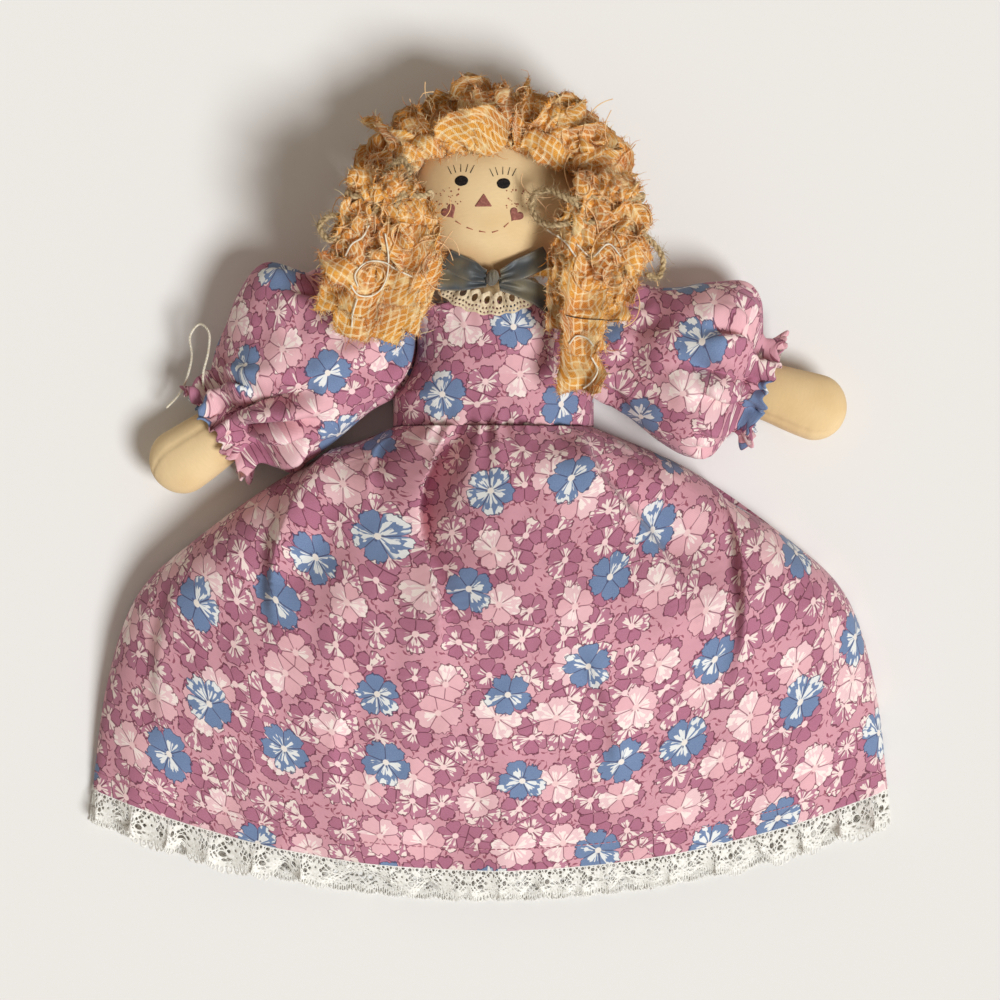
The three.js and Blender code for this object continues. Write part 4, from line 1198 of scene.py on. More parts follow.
def sleeve(side, sign, turn, rows_of, swell, seed):
    """Puffed sleeve: a round gathered end at the shoulder, a puff, a drawn-in wrist and a frill."""
    rng = random.Random(seed)
    rows_of = [(0, NOSE * (1 + swell), NOSE, 13.4)] + rows_of[1:]
    wrist, end = rows_of[-3][0] + 1.7, rows_of[-1][0]
    cuff_folds, shoulder_folds = puckers(rng, 10, 20, 5.0), puckers(rng, 10, 26, 4.0)
    cuff_folds += [(math.radians(at), math.radians(drift), *rest) for at, drift, *rest in CUFF_FOLDS[side]]
    angle = math.radians(turn)
    ahead, crown = (math.cos(angle), math.sin(angle)), (-sign * math.sin(angle), sign * math.cos(angle))
    origin = BODY_X + sign * SHOULDER_REACH
    nose_rows, rows, columns = 16, 104, 190
    reaches = [-NOSE * math.cos(math.pi / 2 * k / nose_rows) for k in range(nose_rows)]
    reaches += [end * k / (rows - nose_rows) for k in range(rows - nose_rows + 1)]

    def place(reach, around, folded):
        if reach < 0:
            lift = math.sqrt(max(1 - (reach / NOSE) ** 2, 0))
            up, down, half = NOSE * lift * (1 + swell * lift), NOSE * lift, 13.4 * math.sqrt(lift)
        else:
            up, down, half = between(rows_of, reach)
        radius, frill = (up + down) / 2, smooth(wrist, end, reach)
        grow, slide = 1, 0
        if folded:
            sunk = pucker_depth(cuff_folds, around, abs(wrist - reach), radius) * (1 - 0.5 * frill)
            at_shoulder = pucker_depth(shoulder_folds, around, max(reach + NOSE * 0.5, 0), radius)
            sunk += at_shoulder * smooth(-NOSE, -6, reach)
            sunk = min(sunk, 1.4 + 1.1 * max(radius - 12.25, 0))
            curl = 1.25 * math.sin(around * 17 + 1.6 * math.sin(around * 4 + seed))
            curl += 0.9 * math.sin(around * 29 + 2 * math.sin(around * 5))
            grow += (frill * (curl + 0.8) - sunk) / max(radius, 6)
            slide = frill * (0.9 * math.sin(around * 23 + seed) + 0.7 * math.sin(around * 7))
        sideways = math.cos(around) * grow
        across = sideways * (up if sideways > 0 else down)
        x = origin + reach * ahead[0] + across * crown[0]
        y = SHOULDER_Y + reach * ahead[1] + across * crown[1]
        z = 0.3 + max(half, 12) + math.sin(around) * half * grow
        soft = wander(x * 0.07, y * 0.07, z * 0.05 + seed) * 2.6
        soft += wander(x * 0.17, y * 0.17, seed) * 1.2
        soft *= smooth(-NOSE, -4, reach) * (1 - frill) * smooth(0, 8, wrist - reach + 2)
        return x + slide * ahead[0], y + slide * ahead[1], max(z + soft * math.sin(around), 0.35)

    turns = [2 * math.pi * c / columns - math.pi / 2 for c in range(columns + 1)]
    points, plain = (
        np.array([[place(reach, turn, folded) for turn in turns] for reach in reaches]) for folded in (1, 0)
    )
    piece = from_grid(f"{side}_puff_sleeve", points, (seed * 31, 7), laid_out(plain))
    close_up(piece)
    thicken(piece, 0.45)
    dress(piece, CALICO, None, [f"{side}_sleeve"])
    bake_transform(piece)


sleeve("left", -1, LEFT_TURN, LEFT_ROWS, 0.4, 1.0)
sleeve("right", 1, RIGHT_TURN, RIGHT_ROWS, 0.0, 2.0)


# Lace


def lace(name, length, width, step, thread, place):
    """Lace cut from a fine grid: cloth where thread(along, out) is above 0, its cut edges moved onto the
    thread's true edge; place(along, out) gives the point in mm."""
    columns, rows = int(length / step), int(width / step)
    ways, outs = np.meshgrid(np.linspace(0, length, columns + 1), np.linspace(0, width, rows + 1))
    kept = thread((ways[:-1, :-1] + ways[1:, 1:]) / 2, (outs[:-1, :-1] + outs[1:, 1:]) / 2) > 0
    around = np.zeros(ways.shape, int)
    for r, c in ((0, 0), (0, 1), (1, 0), (1, 1)):
        around[r : r + rows, c : c + columns] += kept
    rim = (around > 0) & (around < 4)
    h = 0.03
    for _ in range(2):
        value = thread(ways, outs)
        slope_way = (thread(ways + h, outs) - thread(ways - h, outs)) / (2 * h)
        slope_out = (thread(ways, outs + h) - thread(ways, outs - h)) / (2 * h)
        size = np.maximum(slope_way**2 + slope_out**2, 0.05)
        move = np.clip(value / size, -0.4 * step, 0.4 * step) * rim
        ways = ways - np.clip(move * slope_way, -0.3 * step, 0.3 * step)
        outs = outs - np.clip(move * slope_out, -0.3 * step, 0.3 * step)
    numbers = np.full(ways.shape, -1)
    used = around > 0
    numbers[used] = np.arange(used.sum())
    points = [place(a, o) for a, o in zip(ways[used], outs[used])]
    r, c = np.nonzero(kept)
    corners = np.stack([numbers[r, c], numbers[r, c + 1], numbers[r + 1, c + 1], numbers[r + 1, c]], axis=1)
    return from_parts(name, [(points, corners.tolist(), np.stack([ways[used], outs[used]], axis=1))])


def ring_of(along, out, pitch, out_middle, half_along, half_out):
    """How far a place is outside the nearest of a row of ovals."""
    across = (along + pitch / 2) % pitch - pitch / 2
    size = np.sqrt((across / half_along) ** 2 + ((out - out_middle) / half_out) ** 2)
    return (size - 1) * min(half_along, half_out)


def oval_gap(x, y, cx, cy, a, b, lean=0.0):
    c, s = math.cos(math.radians(lean)), math.sin(math.radians(lean))
    dx, dy = x - cx, y - cy
    return (np.sqrt(((dx * c + dy * s) / a) ** 2 + ((dy * c - dx * s) / b) ** 2) - 1) * min(a, b)


# Holes beside each flower of the wide edging: place, half width and half height
LACE_HOLES = [(3.3, 6.6, 0.95, 0.8), (6.4, 5.6, 0.85, 1.0), (7.0, 2.5, 0.7, 0.55), (2.6, 1.95, 0.7, 0.5)]


def hem_lace_thread(along, out):
    """Wide edging: footing, net, flowers and leaves, a zigzag band, a scalloped band and picot loops."""
    edge = 9.5 - 0.6 * np.cos(2 * math.pi * along / 9)
    motif = (along % 18) - 9
    side = np.abs(motif)
    net_a = np.abs(((along + out) / 1.8) % 1 - 0.5) * 1.27
    net_b = np.abs(((along - out) / 1.8) % 1 - 0.5) * 1.27
    solid = 0.17 - np.minimum(net_a, net_b)
    turn = np.arctan2(out - 4.7, motif)
    reach = np.hypot(motif, out - 4.7)
    solid = np.maximum(solid, 2.7 * (0.76 + 0.24 * np.cos(5 * turn + 1.5)) - reach)
    far_turn = np.arctan2(out - 4.3, side - 9)
    solid = np.maximum(solid, 1.9 * (0.8 + 0.2 * np.cos(5 * far_turn)) - np.hypot(side - 9, out - 4.3))
    solid = np.maximum(solid, -oval_gap(side, out, 4.9, 3.2, 1.7, 0.75, 32))
    zigzag = np.abs((along / 4.5) % 1 - 0.5) * 2
    solid = np.maximum(solid, 0.42 - np.abs(out - (edge - 2.75 + 1.1 * zigzag)))
    for place_and_size in LACE_HOLES:
        hole = oval_gap(side, out, *place_and_size)
        solid = np.minimum(np.maximum(solid, 0.34 - np.abs(hole)), hole)
    solid = np.minimum(solid, reach - 0.36)
    band = np.minimum(0.66 - np.abs(out - (edge - 0.6)), ring_of(along, out, 0.95, edge - 0.62, 0.2, 0.18))
    solid = np.maximum(solid, band)
    footing = np.minimum(0.85 - np.abs(out - 0.55), ring_of(along, out, 1.5, 0.8, 0.34, 0.3))
    solid = np.maximum(solid, footing)
    solid = np.minimum(solid, edge - out)
    loops = 0.17 - np.abs(ring_of(along, out, 1.5, edge + 0.9, 0.46, 1.05))
    return np.maximum(solid, np.minimum(loops, out - edge + 0.3))


def hem_ways(count=400):
    """Share across the hem for even steps along it."""
    acrosses = np.linspace(-1, 1, count)
    rim = np.array([skirt_plan(a, 1)[:2] for a in acrosses])
    way = np.concatenate([[0], np.cumsum(np.linalg.norm(np.diff(rim, axis=0), axis=1))])
    return acrosses, way


HEM_ACROSS, HEM_WAY = hem_ways()
HEM_RIM = [(skirt_point(a, 1), skirt_point(a, 0.98)) for a in HEM_ACROSS]


def hem_frame(share):
    """Point of the hem and the direction out of it, at a share of the way along it."""
    at = share * HEM_WAY[-1]
    place = float(np.interp(at, HEM_WAY, np.arange(len(HEM_WAY))))
    low = min(int(place), len(HEM_RIM) - 2)
    rim = mix(HEM_RIM[low][0], HEM_RIM[low + 1][0], place - low)
    behind = mix(HEM_RIM[low][1], HEM_RIM[low + 1][1], place - low)
    out = (rim - behind)[:2]
    return rim, out / np.linalg.norm(out)


# Places where the front edging is turned under: where it is across the doll, how wide, how much
TUCKS = [
    (-112, 2.5, 0.45), (-93, 2.0, 0.4), (-62, 3.0, 0.6), (-38, 9.0, 0.72), (-18, 3.5, 0.5),
    (13, 2.5, 0.42), (41, 2.5, 0.4), (63, 3.0, 0.32), (81, 2.5, 0.36), (102, 2.5, 0.4),
]


def hem_laces():
    """Gathered edging sewn under the hem: a ruffled front length and a flatter back length."""
    length = round(HEM_WAY[-1] * 1.4 / 18) * 18

    def front(along, out):
        free = out / 11.5
        wave = along / 17.3 * 2 * math.pi + 1.7 * math.sin(along / 27)
        full = 0.8 + 0.45 * math.sin(along / 47 + 0.4)
        ripple, second = math.sin(wave) * full, math.sin(along / 9.1 * 2 * math.pi + 0.7)
        sway = free * (2.3 * math.cos(wave) * full + 0.5 * math.cos(along / 9.1 * 2 * math.pi + 0.7))
        rim, away = hem_frame(min(max((along + sway * 1.4) / length, 0), 1))
        tucked = max(much * math.exp(-(((rim[0] - middle) / wide) ** 2)) for middle, wide, much in TUCKS)
        uneven = 1 - 0.12 * free * (ripple + 0.5) + 0.05 * math.sin(along / 41)
        reach = out * uneven * (1 - tucked * free) - 1.1
        settle = min(rim[2] - 0.5, 6.0)
        z = mix(rim[2] - 0.55, settle, smooth(0, 1, free)) + free * (1.9 * ripple + 0.7 * second + 1.3)
        return rim[0] + away[0] * reach, rim[1] + away[1] * reach, max(z, 1.25)

    piece = lace("hem_lace_ruffle", length, 11.7, 0.28, hem_lace_thread, front)
    thicken(piece, 0.24)
    dress(piece, LACE, "doll_body", ["hem_lace_front"])

    back_length = round(HEM_WAY[-1] * 1.08 / 18) * 18

    def back(along, out):
        rim, away = hem_frame(min(max(along / back_length, 0), 1))
        ripple = math.sin(along / 12.5 * 2 * math.pi + 1.1 * math.sin(along / 19))
        reach = out * 0.99 - 1.1
        return rim[0] + away[0] * reach, rim[1] + away[1] * reach, 0.62 + 0.28 * ripple * out / 11.5

    piece = lace("hem_lace_under", back_length, 11.7, 0.33, hem_lace_thread, back)
    thicken(piece, 0.2)
    dress(piece, LACE, "doll_body", ["hem_lace_back"])


hem_laces()


def neck_lace_thread(along, out):
    """Narrow edging: a double footing and scallops with a round opening in each."""
    edge = 5.6 + 1.7 * np.abs(np.sin(math.pi * along / 5.6)) ** 0.7
    solid = np.minimum(edge - out, out + 1)
    hole = ring_of(along - 2.8, out, 5.6, 4.7, 1.3, 1.2)
    solid = np.minimum(solid, hole)
    solid = np.minimum(solid, ring_of(along, out, 1.4, 2.3, 0.42, 0.34))
    solid = np.minimum(solid, ring_of(along + 0.7, out, 1.4, 1.0, 0.36, 0.28))
    return np.minimum(solid, ring_of(along, out, 5.6, 3.9, 0.4, 0.5))


def neck_lace():
    length = 5.6 * 8

    def place(along, out):
        angle = math.radians(mix(225, 315, along / length))
        radius = 23.6 - out + 0.25 * math.sin(along * 1.1)
        lift = 0.35 * math.sin(along * 0.9) + 0.5 * math.sin(along / 5.6 * 2 * math.pi) * out / 6
        z = 30.85 + lift - 0.06 * max(abs(math.degrees(angle) - 270) - 30, 0) ** 1.3
        return BODY_X + radius * math.cos(angle), 37.95 + radius * math.sin(angle), z

    piece = lace("neckline_lace", length, 7.5, 0.24, neck_lace_thread, place)
    pick(piece)
    bpy.ops.object.mode_set(mode="EDIT")
    bpy.ops.mesh.select_all(action="SELECT")
    bpy.ops.mesh.flip_normals()
    bpy.ops.object.mode_set(mode="OBJECT")
    thicken(piece, 0.25)
    dress(piece, CREAM_LACE, "doll_body", ["neck_lace"])


neck_lace()

# Ribbon

RIBBON_Z, KNOT_Y, RIBBON_REACH = 31.5, 25.5, 22


def ribbon_strip(name, route, acrosses, fold, seed, width=6.35):
    """A length of satin ribbon along a route given in shares of its reach, from the knot outward."""
    rows, columns = 48, 20
    start = (BODY_X, KNOT_Y, RIBBON_Z + 1)
    places = [[s + p * RIBBON_REACH for s, p in zip(start, place)] for place in route]
    line = evenly(through(places, 16), rows + 1)
    points = np.zeros((rows + 1, columns + 1, 3))
    for row in range(rows + 1):
        share = row / rows
        turn = math.radians(float(along(acrosses, share)))
        across = np.array([math.cos(turn), math.sin(turn), 0])
        pinch = mix(0.62, 1, smooth(0, 0.4, share))
        for column in range(columns + 1):
            side = (2 * column / columns - 1) * width / 2
            lift = fold * math.cos(side * 0.9 + seed) * smooth(0, 0.5, share)
            lift += (1 - pinch) * 1.6 * math.cos(side * 2.4)
            lift += 0.35 * wander(share * 4 + seed, side * 0.3, seed)
            points[row, column] = line[row] + across * side * pinch + (0, 0, lift + 0.3)
    piece = from_grid(name, points)
    thicken(piece, 0.16)
    return piece


def knot():
    """Ribbon wrapped once round itself, pleated across."""
    deselect()
    bpy.ops.mesh.primitive_uv_sphere_add(segments=48, ring_count=28, radius=1)
    piece = bpy.context.object
    piece.name = piece.data.name = "ribbon_knot_wrap"
    for vertex in piece.data.vertices:
        x, y, z = vertex.co
        pleat = 1 + 0.09 * math.sin(x * 11 + 1.2 * math.sin(y * 3)) * (1 - abs(y) ** 3)
        across = BODY_X - 0.3 + x * 2.0 + y * 0.3
        place = (across, KNOT_Y + y * 2.5 * (1 - 0.12 * x * x), RIBBON_Z + 2 + z * 2 * pleat)
        vertex.co = Vector(place) * MM
    return piece


# Each strip of the ribbon: its route, the angle across it, the height of its fold and a seed
RIBBON_STRIPS = {
    "band_left": ([(-0.1, 0.02, 0.05), (-0.36, 0.12, 0.02), (-0.64, 0.26, -0.05)], [80, 66, 58], 0.7, 0.4),
    "band_right": ([(0.1, 0.02, 0.05), (0.44, 0.15, 0.05), (0.74, 0.3, 0.0)], [98, 110, 120], 0.6, 2.0),
    "tail_left": (
        [(-0.08, -0.04, 0.0), (-0.5, -0.03, -0.02), (-0.96, -0.02, -0.03)], [80, 85, 95], 0.5, 1.1
    ),
    "tail_right": ([(0.08, -0.08, 0.02), (0.55, -0.2, 0.02), (1.0, -0.54, -0.03)], [95, 70, 45], 0.6, 3.2),
}


def ribbon():
    for name, (route, acrosses, fold, seed) in RIBBON_STRIPS.items():
        strip = ribbon_strip(f"satin_{name}", route, acrosses, fold, seed)
        dress(strip, SATIN, "neck_piece", [f"ribbon_{name}"])
    dress(knot(), SATIN, "neck_piece", ["ribbon_knot"])


ribbon()

# Hair

# Places on the flat check that are all cream or all orange, for loose fibres
CREAM_SPOT, ORANGE_SPOT = (-0.25, -0.25), (1.4, 1.4)
SPOTS = [CREAM_SPOT, ORANGE_SPOT, ORANGE_SPOT, (-0.25, 1.4), (1.2, 0.1)]


def torn_strip(
    name, route, widths, rng, ruffle=2.0, crumple=1.5, lean=0.0, roll=0.0,
    fray=1.9, rows=30, columns=12, both_ends=False,
):
    """One torn strip of check: it follows the route, waves at its edges, crumples, and frays all round."""
    line = evenly(through(route), rows + 1)
    ahead = directions(line)[0]
    seed = rng.uniform(0, 99)
    points = np.zeros((rows + 1, columns + 1, 3))
    sides, ups = np.zeros((rows + 1, 3)), np.zeros((rows + 1, 3))
    waves = length_of(line) / rng.uniform(9, 14)
    for row in range(rows + 1):
        share = row / rows
        flat = np.cross(ahead[row], (0, 0, 1))
        if np.linalg.norm(flat) < 0.2:
            flat = sides[row - 1] if row else np.array([1.0, 0, 0])
        flat /= np.linalg.norm(flat)
        turn = math.radians(lean + roll * share)
        sides[row] = flat * math.cos(turn) + np.cross(flat, ahead[row]) * math.sin(turn)
        ups[row] = np.cross(sides[row], ahead[row])
        half = float(along(widths, share)) / 2
        loose = smooth(0, 0.15, share + 0.05)
        for column in range(columns + 1):
            t = 2 * column / columns - 1
            swing = 2 * math.pi * waves * share + seed + (1.7 if t > 0 else 0)
            wave = abs(t) ** 1.4 * math.sin(swing) + 0.6 * math.sin(t * 3.4 + seed)
            torn = 0.5 * wander(share * 40, t + seed, 0) if column in (0, columns) else 0
            across = half * t * (1 + 0.12 * math.sin(share * 9 + seed)) + torn
            place = line[row] + sides[row] * across + ups[row] * wave * ruffle * loose
            bend = noise.noise_vector(Vector(place * 0.13) + Vector((seed, 0, 0))) * 1.3
            fine = noise.noise_vector(Vector(place * 0.4) + Vector((0, seed, 0))) * 0.36
            points[row, column] = place + np.array(bend + fine) * crumple * loose
    piece = from_grid(name, points, (rng.uniform(0, 30), rng.uniform(0, 30)))
    thicken(piece, 0.3)
    starts, ways = [], []
    for column, sign in ((0, -1), (columns, 1)):
        for _ in range(int(length_of(line) * 5)):
            row = rng.uniform(0, rows - 0.001)
            low = int(row)
            starts.append(mix(points[low, column], points[low + 1, column], row - low))
            ways.append(sides[low] * sign + ahead[low] * rng.gauss(0, 0.6) + ups[low] * rng.gauss(0, 0.5))
    for row, sign in ((rows, 1), (0, -1)) if both_ends else ((rows, 1),):
        for _ in range(int(widths[-1] * 5)):
            column = rng.uniform(0, columns - 0.001)
            low = int(column)
            starts.append(mix(points[row, low], points[row, low + 1], column - low))
            ways.append(ahead[row] * sign + sides[row] * rng.gauss(0, 0.4) + ups[row] * rng.gauss(0, 0.4))
    for _ in range(int(length_of(line) * 5)):
        row, column = rng.randrange(rows), rng.randrange(columns)
        starts.append(points[row, column])
        ways.append(ups[row] * rng.choice((-1, 1)) + np.array([rng.gauss(0, 1.2) for _ in range(3)]))
    del starts[::3], ways[::3]
    fibres = hairs(starts, ways, int(seed * 1000), fray, 0.11, 0.4, SPOTS, 3)
    return [piece, from_parts(name + "_fray", [fibres])]


def loose_threads(name, routes, radius, surface, lift=0.5):
    """Cream threads that have worked loose and lie in curls over the hair."""
    parts = []
    for route in routes:
        line = evenly(through([(*p, 0) for p in route], 10), 40)
        heights = np.array([surface(x, y, 40) for x, y, _ in line]) + lift
        line[:, 2] = np.convolve(np.pad(heights, 2, mode="edge"), np.full(5, 0.2), "valid") + 0.3
        parts.append(strand(line, np.full(40, radius), 6, CREAM_SPOT))
    return from_parts(name, parts)


def curling_routes(rng, middle, spread, count, length):
    """Routes of loose threads in the plan, each with its own bend."""
    routes = []
    for _ in range(count):
        x, y = middle[0] + rng.uniform(
            -spread[0], spread[0]
        ), middle[1] + rng.uniform(-spread[1], spread[1])
        turn = rng.uniform(0, 2 * math.pi)
        bend = rng.choice((-1, 1)) * rng.uniform(0.1, 0.45)
        reach = length * rng.uniform(0.4, 1)
        route = [(x, y)]
        for _ in range(8):
            bend += rng.gauss(0, 0.1)
            turn += bend
            x, y = x + math.cos(turn) * reach / 8, y + math.sin(turn) * reach / 8
            route.append((x, y))
        routes.append(route)
    return routes


def ring_point(angle, radius, z, off=0.0):
    return (*moved(BODY_X, RING_Y, radius, off, math.radians(angle)), z)


OUTERS = [40, 38, 34.5, 33, 32, 30.5, 31.5, 34.5, 40]
TOPS = [0.86, 0.96, 1, 0.94, 1, 0.96, 0.99, 0.93, 0.87]


def fringe():
    """Short torn strips gathered round the crown, in nine tied groups."""
    for number in range(9):
        rng = random.Random(40 + number)
        middle = 8 + (number + 0.5) * 164 / 9
        side = abs(math.cos(math.radians(middle)))
        inner = mix(14.5, 27.5 if number < 8 else 29.5, side**2)
        outer, top = OUTERS[number], 44 * TOPS[number]
        pieces = []
        for k in range(4):
            angle = middle + (k - 1.5) * 4.6 + rng.uniform(-1.5, 1.5)
            off = rng.uniform(-4, 4)
            seat = head_front(*ring_point(angle, inner + 0.6, 0)[:2], 24)
            route = [
                ring_point(angle, inner + 0.6, seat + 0.8),
                ring_point(angle, mix(inner, outer, 0.25), min(seat + 6, top - 2)),
                ring_point(angle, mix(inner, outer, 0.52), top - rng.uniform(1, 4), off * 0.4),
                ring_point(angle, mix(inner, outer, 0.82), top - rng.uniform(6, 13), off),
                ring_point(angle, outer * rng.uniform(0.93, 1.03), top - rng.uniform(14, 22), off * 1.3),
            ]
            widths = [4, 9, 12, rng.uniform(10, 15), rng.uniform(8, 13)]
            ruffle, crumple = (1.2, 1.1) if k % 2 else (2.2, 1.9)
            lean, roll = rng.uniform(-25, 25), rng.uniform(-40, 40)
            pieces += torn_strip(f"tuft_{number}_{k}", route, widths, rng, ruffle, crumple, lean, roll)
        for k in range(3):
            angle = middle + (k - 1) * 6 + rng.uniform(-2, 2)
            off = rng.uniform(-3, 3)
            route = [
                ring_point(angle, inner + 6, 22),
                ring_point(angle, mix(inner, outer, 0.6), 24),
                ring_point(angle, outer * 0.9, 18, off),
                ring_point(angle, outer * rng.uniform(0.9, 1.0), 10.5, off * 1.5),
            ]
            name, roll = f"under_{number}_{k}", rng.uniform(-30, 30)
            pieces += torn_strip(name, route, [9, 12, 11], rng, 1.8, 1.3, 0, roll, rows=22, columns=10)
        group = join(f"hair_fringe_{number + 1}", pieces)
        routes = curling_routes(rng, ring_point(middle, mix(inner, outer, 0.6), 0), (7, 5), 6, 15)
        routes = [r for r in routes if all(math.hypot(x - BODY_X, y - RING_Y) > inner + 2.5 for x, y in r)]
        strays = loose_threads(f"stray_{number}", routes, 0.15, front_of(group))
        dress(
            join(group.name, [group, strays]), HOMESPUN, "head", [f"fringe_strip_{number + 1}"]
        )


fringe()


def forehead_folds():
    """Flat folded strips that lie over the edge of the forehead."""
    rng = random.Random(7)
    folds = {
        "middle": (
            [(-14, 63.5, 40), (-9, 67.2, 44.5), (-3, 68.2, 45.2), (3.5, 64.5, 41.5)], [7, 13, 15, 9], -24
        ),
        "right": ([(9.5, 65.5, 41), (14.5, 63.8, 42), (19, 61.5, 42), (22.5, 59, 40)], [5, 8, 7, 4], -18),
    }
    pieces = []
    for name, (route, widths, lean) in folds.items():
        pieces += torn_strip(f"fold_{name}", route, widths, rng, 0.8, 1.3, lean, 6, 1.5, both_ends=True)
    dress(join("hair_forehead_folds", pieces), HOMESPUN, "head")


forehead_folds()


def back_hair():
    """Flat strips under the back of the head."""
    for number in range(3):
        rng = random.Random(80 + number)
        x = BODY_X + (number - 1) * 14.6
        upper, lower = x + rng.uniform(-1, 1), x + rng.uniform(-1, 1)
        route = [(x, 75.5, 2.0), (upper, 60, 1.7), (lower, 44, 1.7), (x, 27.5, 2.0)]
        fine = {"rows": 46, "columns": 16, "fray": 1.2, "both_ends": True}
        pieces = torn_strip(f"strip_{number}", route, [13, 14, 14], rng, 0.5, 0.6, **fine)
        strip = join(f"hair_back_{number + 1}", pieces)
        dress(strip, HOMESPUN, "head", [f"back_hair_{number + 1}"])


back_hair()

LEFT_RIBS = [
    [(-0.23, 0), (-0.5, -0.31), (-0.63, -0.69)],
    [(-0.13, 0), (-0.3, -0.36), (-0.47, -1)],
    [(0, 0), (0, -0.43), (-0.17, -1.04)],
    [(0.13, 0), (0.37, -0.31), (0.17, -0.98)],
    [(0.27, -0.02), (0.66, -0.27), (0.5, -0.81)],
]
RIGHT_RIBS = [
    [(-0.23, -0.02), (-0.57, -0.36), (-0.55, -0.98)],
    [(-0.11, 0), (-0.33, -0.4), (-0.43, -1.36)],
    [(0.02, 0), (0, -0.45), (0, -1.3)],
    [(0.14, 0), (0.22, -0.4), (0.19, -1)],
    [(0.26, -0.02), (0.42, -0.38), (0.32, -0.98)],
]


# Levels of each bunch from below: share of its length, height at the tie and at the end, ruffle, crumple
LEVELS = [
    (1.0, 3.0, 2.4, 0.9, 0.8), (0.92, 5.6, 5.4, 1.6, 1.4), (0.66, 8.4, 8.8, 2.3, 2.0), (
        0.42, 10.0, 9.8, 2.4, 2.2
    )
]
# Loose threads over the bunches, in the plan
THREAD_LOOPS = {
    "left": [
        [(-38.7, 22.2), (-39.6, 25.5), (-36.6, 29.1), (-31.5, 29.4), (-27, 27), (-22.8, 25.2)],
        [(-40.8, 22.5), (-38.7, 19.8), (-34.5, 19.8), (-31.2, 22.8), (-29.7, 29.7), (-30.6, 37.5)],
        [(-42.6, 30.9), (-40.2, 34.5), (-37.2, 36.6), (-35.4, 39.9)],
        [(-39, 18.6), (-40.2, 14.7), (-40.8, 10.5)],
    ],
    "right": [
        [(16.8, 39.3), (21.6, 35.7), (25.2, 30.9)],
        [(23.4, 5.4), (25.5, 7.8), (28.5, 7.2), (30.6, 4.8)],
        [(30, 1.5), (31.8, -2.1), (30, -5.7), (27.6, -7.5)],
        [(25.5, 34.5), (30, 30.9), (34.8, 34.5), (38.4, 30.9)],
    ],
}
DARK_THREAD_ROUTE = [(22.5, 13.8), (27, 13), (33, 12.6), (38.5, 12.6)]


def rib_point(rib, share, tie_x):
    top, middle, end = (np.array(p, float) for p in rib)
    bend = 2 * middle - (top + end) / 2
    rest = 1 - share
    place = rest * rest * top + 2 * rest * share * bend + share * share * end
    return np.array([tie_x + place[0] * 30, TIE_Y + place[1] * 42])


def bunch_place(ribs, tie_x, across, share, z):
    """Point over the bunch: across from 0 to 4 ribs, share down its length, z above its floor."""
    low = min(int(across), 3)
    place = mix(rib_point(ribs[low], share, tie_x), rib_point(ribs[low + 1], share, tie_x), across - low)
    return (place[0], place[1], BUNCH_FLOOR + z)


def twine_tie(side, ribs, tie_x):
    """Twine wrapped once round the top of the bunch."""
    first, last = rib_point(ribs[0], 0.1, tie_x), rib_point(ribs[-1], 0.1, tie_x)
    half_span, half_depth = (last[0] - first[0]) / 2 + 2.0, 7.0
    loop = []
    for turn in np.linspace(math.pi, 3 * math.pi, 97):
        c, s = math.cos(turn), math.sin(turn)
        loop.append((
            (first[0] + last[0]) / 2 + math.copysign(abs(c) ** 0.35, c) * half_span,
            (first[1] + last[1]) / 2 - 0.9 * s * (1 - c * c) + 0.4 * math.sin(turn * 5),
            BUNCH_FLOOR + 6.5 + math.copysign(abs(s) ** 0.45, s) * half_depth + 0.4 * math.sin(turn * 7),
        ))
    ring = twisted(f"{side}_tie_twine", np.array(loop), TWINE_WIDTH, TWINE_PITCH)
    dress(ring, TWINE, f"{side}_bunch", [f"{side}_twine_tie"])


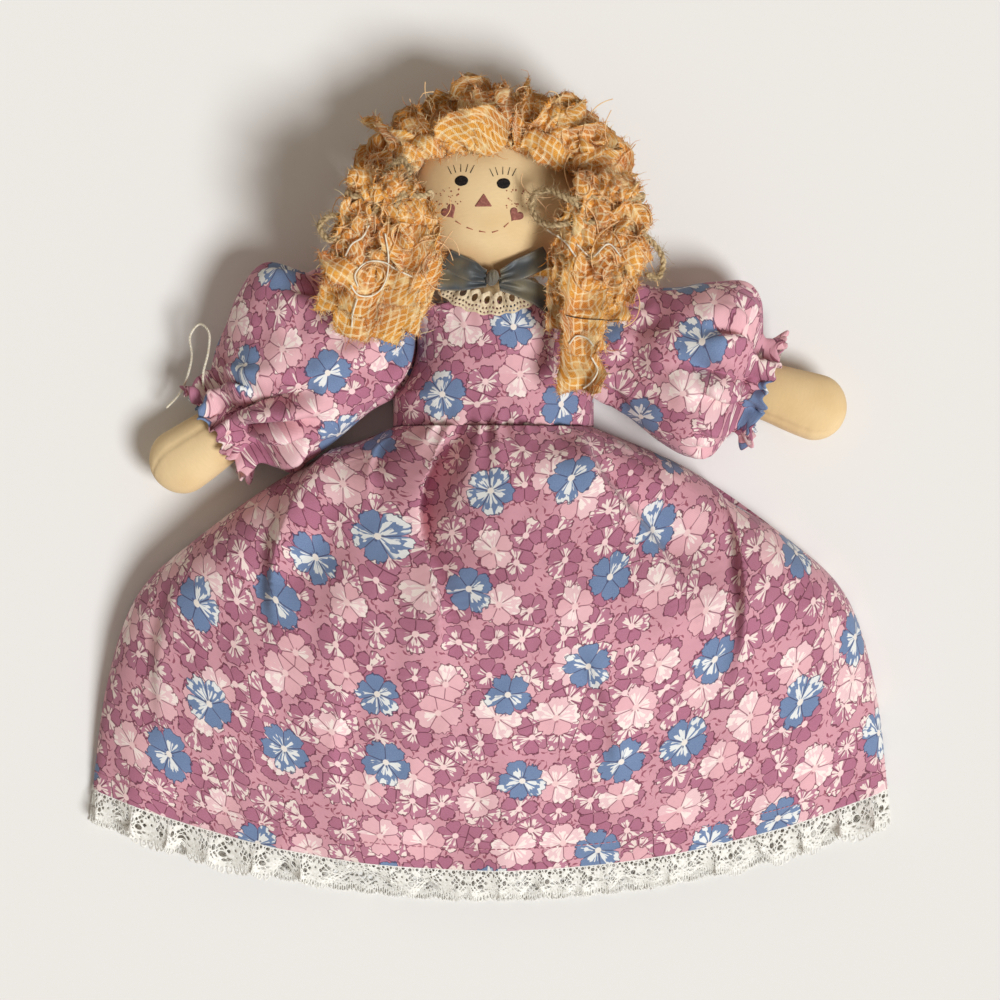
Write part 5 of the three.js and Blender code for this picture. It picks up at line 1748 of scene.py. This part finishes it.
def bunch(side, ribs, tie_x, lengths, seed):
    """Torn strips tied at the top: long ones below, short crumpled ones on top."""
    groups = []

    def taper(share):
        return 1 - (0.3 if side == "right" else 0.1) * smooth(0.55, 1, share)

    for number in range(4):
        rng = random.Random(seed + number)
        pieces = []
        outermost, by_face = number == (0 if side == "left" else 3), number == (3 if side == "left" else 0)
        inner = 0.24 if outermost else 0.08 if by_face else 0.5
        spread = 0.95 if by_face else 1.1 if outermost else 1.3
        middle = number + (1 - inner if number == 0 else inner)
        for level, (reach, z_tie, z_end, ruffle, crumple) in enumerate(LEVELS):
            reach *= lengths[number] * (1.02 if level == 0 else rng.uniform(0.93, 1))
            route, widths = [], []
            for share in np.linspace(0.02, reach, 5):
                z = mix(z_tie, z_end, share / reach) + 1.2 * math.sin(math.pi * share / reach)
                route.append(bunch_place(ribs, tie_x, middle, share, z))
                near, far = (rib_point(rib, share, tie_x) for rib in ribs[number : number + 2])
                widths.append((np.linalg.norm(far - near) * spread + 0.6) * taper(share / reach))
            lean, roll = (rng.uniform(-18, 18), rng.uniform(-20, 20)) if level > 1 else (0, 0)
            if side == "right" and level < 2:
                ruffle, crumple, roll = 1.5, 1.9, rng.choice((-1, 1)) * rng.uniform(10, 22)
            name = f"{side}_{number}_{level}"
            pieces += torn_strip(name, route, widths, rng, ruffle, crumple, lean, roll, rows=40, columns=14)
        for k in range(3):
            low, high = (0.6, 2.5) if side == "left" else (1.5, 3.4)
            share, across = rng.uniform(0.1, 0.5), min(max(number + rng.uniform(0, 1), low), high)
            place = bunch_place(ribs, tie_x, across, share, 9.5)
            away = rng.uniform(math.pi * 1.2, math.pi * 1.8)
            step = np.array([math.cos(away), math.sin(away), 0])
            rises = ((0, 0), (3, 3.0), (7, 1.8), (10, -1.5))
            route = [place + step * way + (0, 0, rise) for way, rise in rises]
            name = f"{side}_{number}_curl_{k}"
            widths, roll = [5, 8, rng.uniform(7, 10)], rng.uniform(-50, 50)
            pieces += torn_strip(name, route, widths, rng, 1.6, 1.6, 0, roll, rows=20, columns=10)
        for k in range(2):
            near, far = (0.5, 2.5) if side == "left" else (1.5, 3.5)
            place = bunch_place(
                ribs, tie_x, min(max(number + rng.uniform(0.15, 0.85), near), far), 0.2, 9.4
            )
            lean, (x, y, z) = rng.uniform(-2, 2), place
            route = [
                place, (x + lean, y + 3, z + 5), (x + 2 * lean, y + 6.5, z + 3.6), (x + 2 * lean, y + 9, z)
            ]
            name, roll = f"{side}_{number}_puff_{k}", rng.uniform(-40, 40)
            pieces += torn_strip(name, route, [4, 7, 8, 6], rng, 1.5, 1.4, 0, roll, rows=20, columns=10)
        if outermost and side == "left":
            route = [(-38, 23, 45.5), (-44, 27, 47), (-50, 32, 45.5)]
            widths = [9, 8, 2.5]
            pieces += torn_strip("left_point", route, widths, rng, 1.2, 0.9, 10, -30, rows=24, columns=10)
        groups.append(join(f"hair_{side}_bunch_{number + 1}", pieces))
    surface = front_of(*groups)
    for number, group in enumerate(groups):
        rng = random.Random(seed + 50 + number)
        middle = bunch_place(ribs, tie_x, number + 0.5, 0.45, 0)
        routes = curling_routes(rng, middle, (5, 13), 5, 20)
        strays = loose_threads(f"{side}_{number}_stray", routes, 0.16, surface)
        replaced = [f"{side}_bunch_strip_{number + 1}"]
        dress(join(group.name, [group, strays]), HOMESPUN, f"{side}_bunch", replaced)
    loops = loose_threads(f"{side}_thread_loops", THREAD_LOOPS[side], 0.26, surface, 0.6)
    dress(loops, THREAD, f"{side}_bunch")
    if side == "right":
        stray = loose_threads("dark_stray_thread", [DARK_THREAD_ROUTE], 0.14, surface, 0.4)
        dress(stray, DARK_THREAD, "right_bunch")
    twine_tie(side, ribs, tie_x)


bunch("left", LEFT_RIBS, -31, (0.95, 1.0, 1.02, 1.0), 100)
bunch("right", RIGHT_RIBS, 33.5, (0.84, 1.02, 0.86, 0.84), 200)


# Floor and light


def stage():
    deselect()
    bpy.ops.mesh.primitive_plane_add(size=6)
    floor = bpy.context.object
    floor.name = "floor"
    f = Finish("pale floor", Roughness=0.9, Specular_IOR_Level=0.1)
    f.shader.inputs["Base Color"].default_value = srgb(236, 234, 230)
    floor.data.materials.append(f.material)
    world = bpy.data.worlds.new("studio")
    world.use_nodes = True
    scene.world = world
    world.node_tree.nodes["Background"].inputs[0].default_value = (1.0, 0.88, 0.76, 1)
    world.node_tree.nodes["Background"].inputs[1].default_value = 0.31
    sun = bpy.data.lights.new("window", "SUN")
    sun.energy = 2.95
    sun.angle = 0.38
    sun.color = (0.94, 0.97, 1.0)
    lamp = bpy.data.objects.new("window", sun)
    lamp.rotation_euler = Vector((-0.6, 0.48, -1)).to_track_quat("-Z", "Y").to_euler()
    scene.collection.objects.link(lamp)


stage()
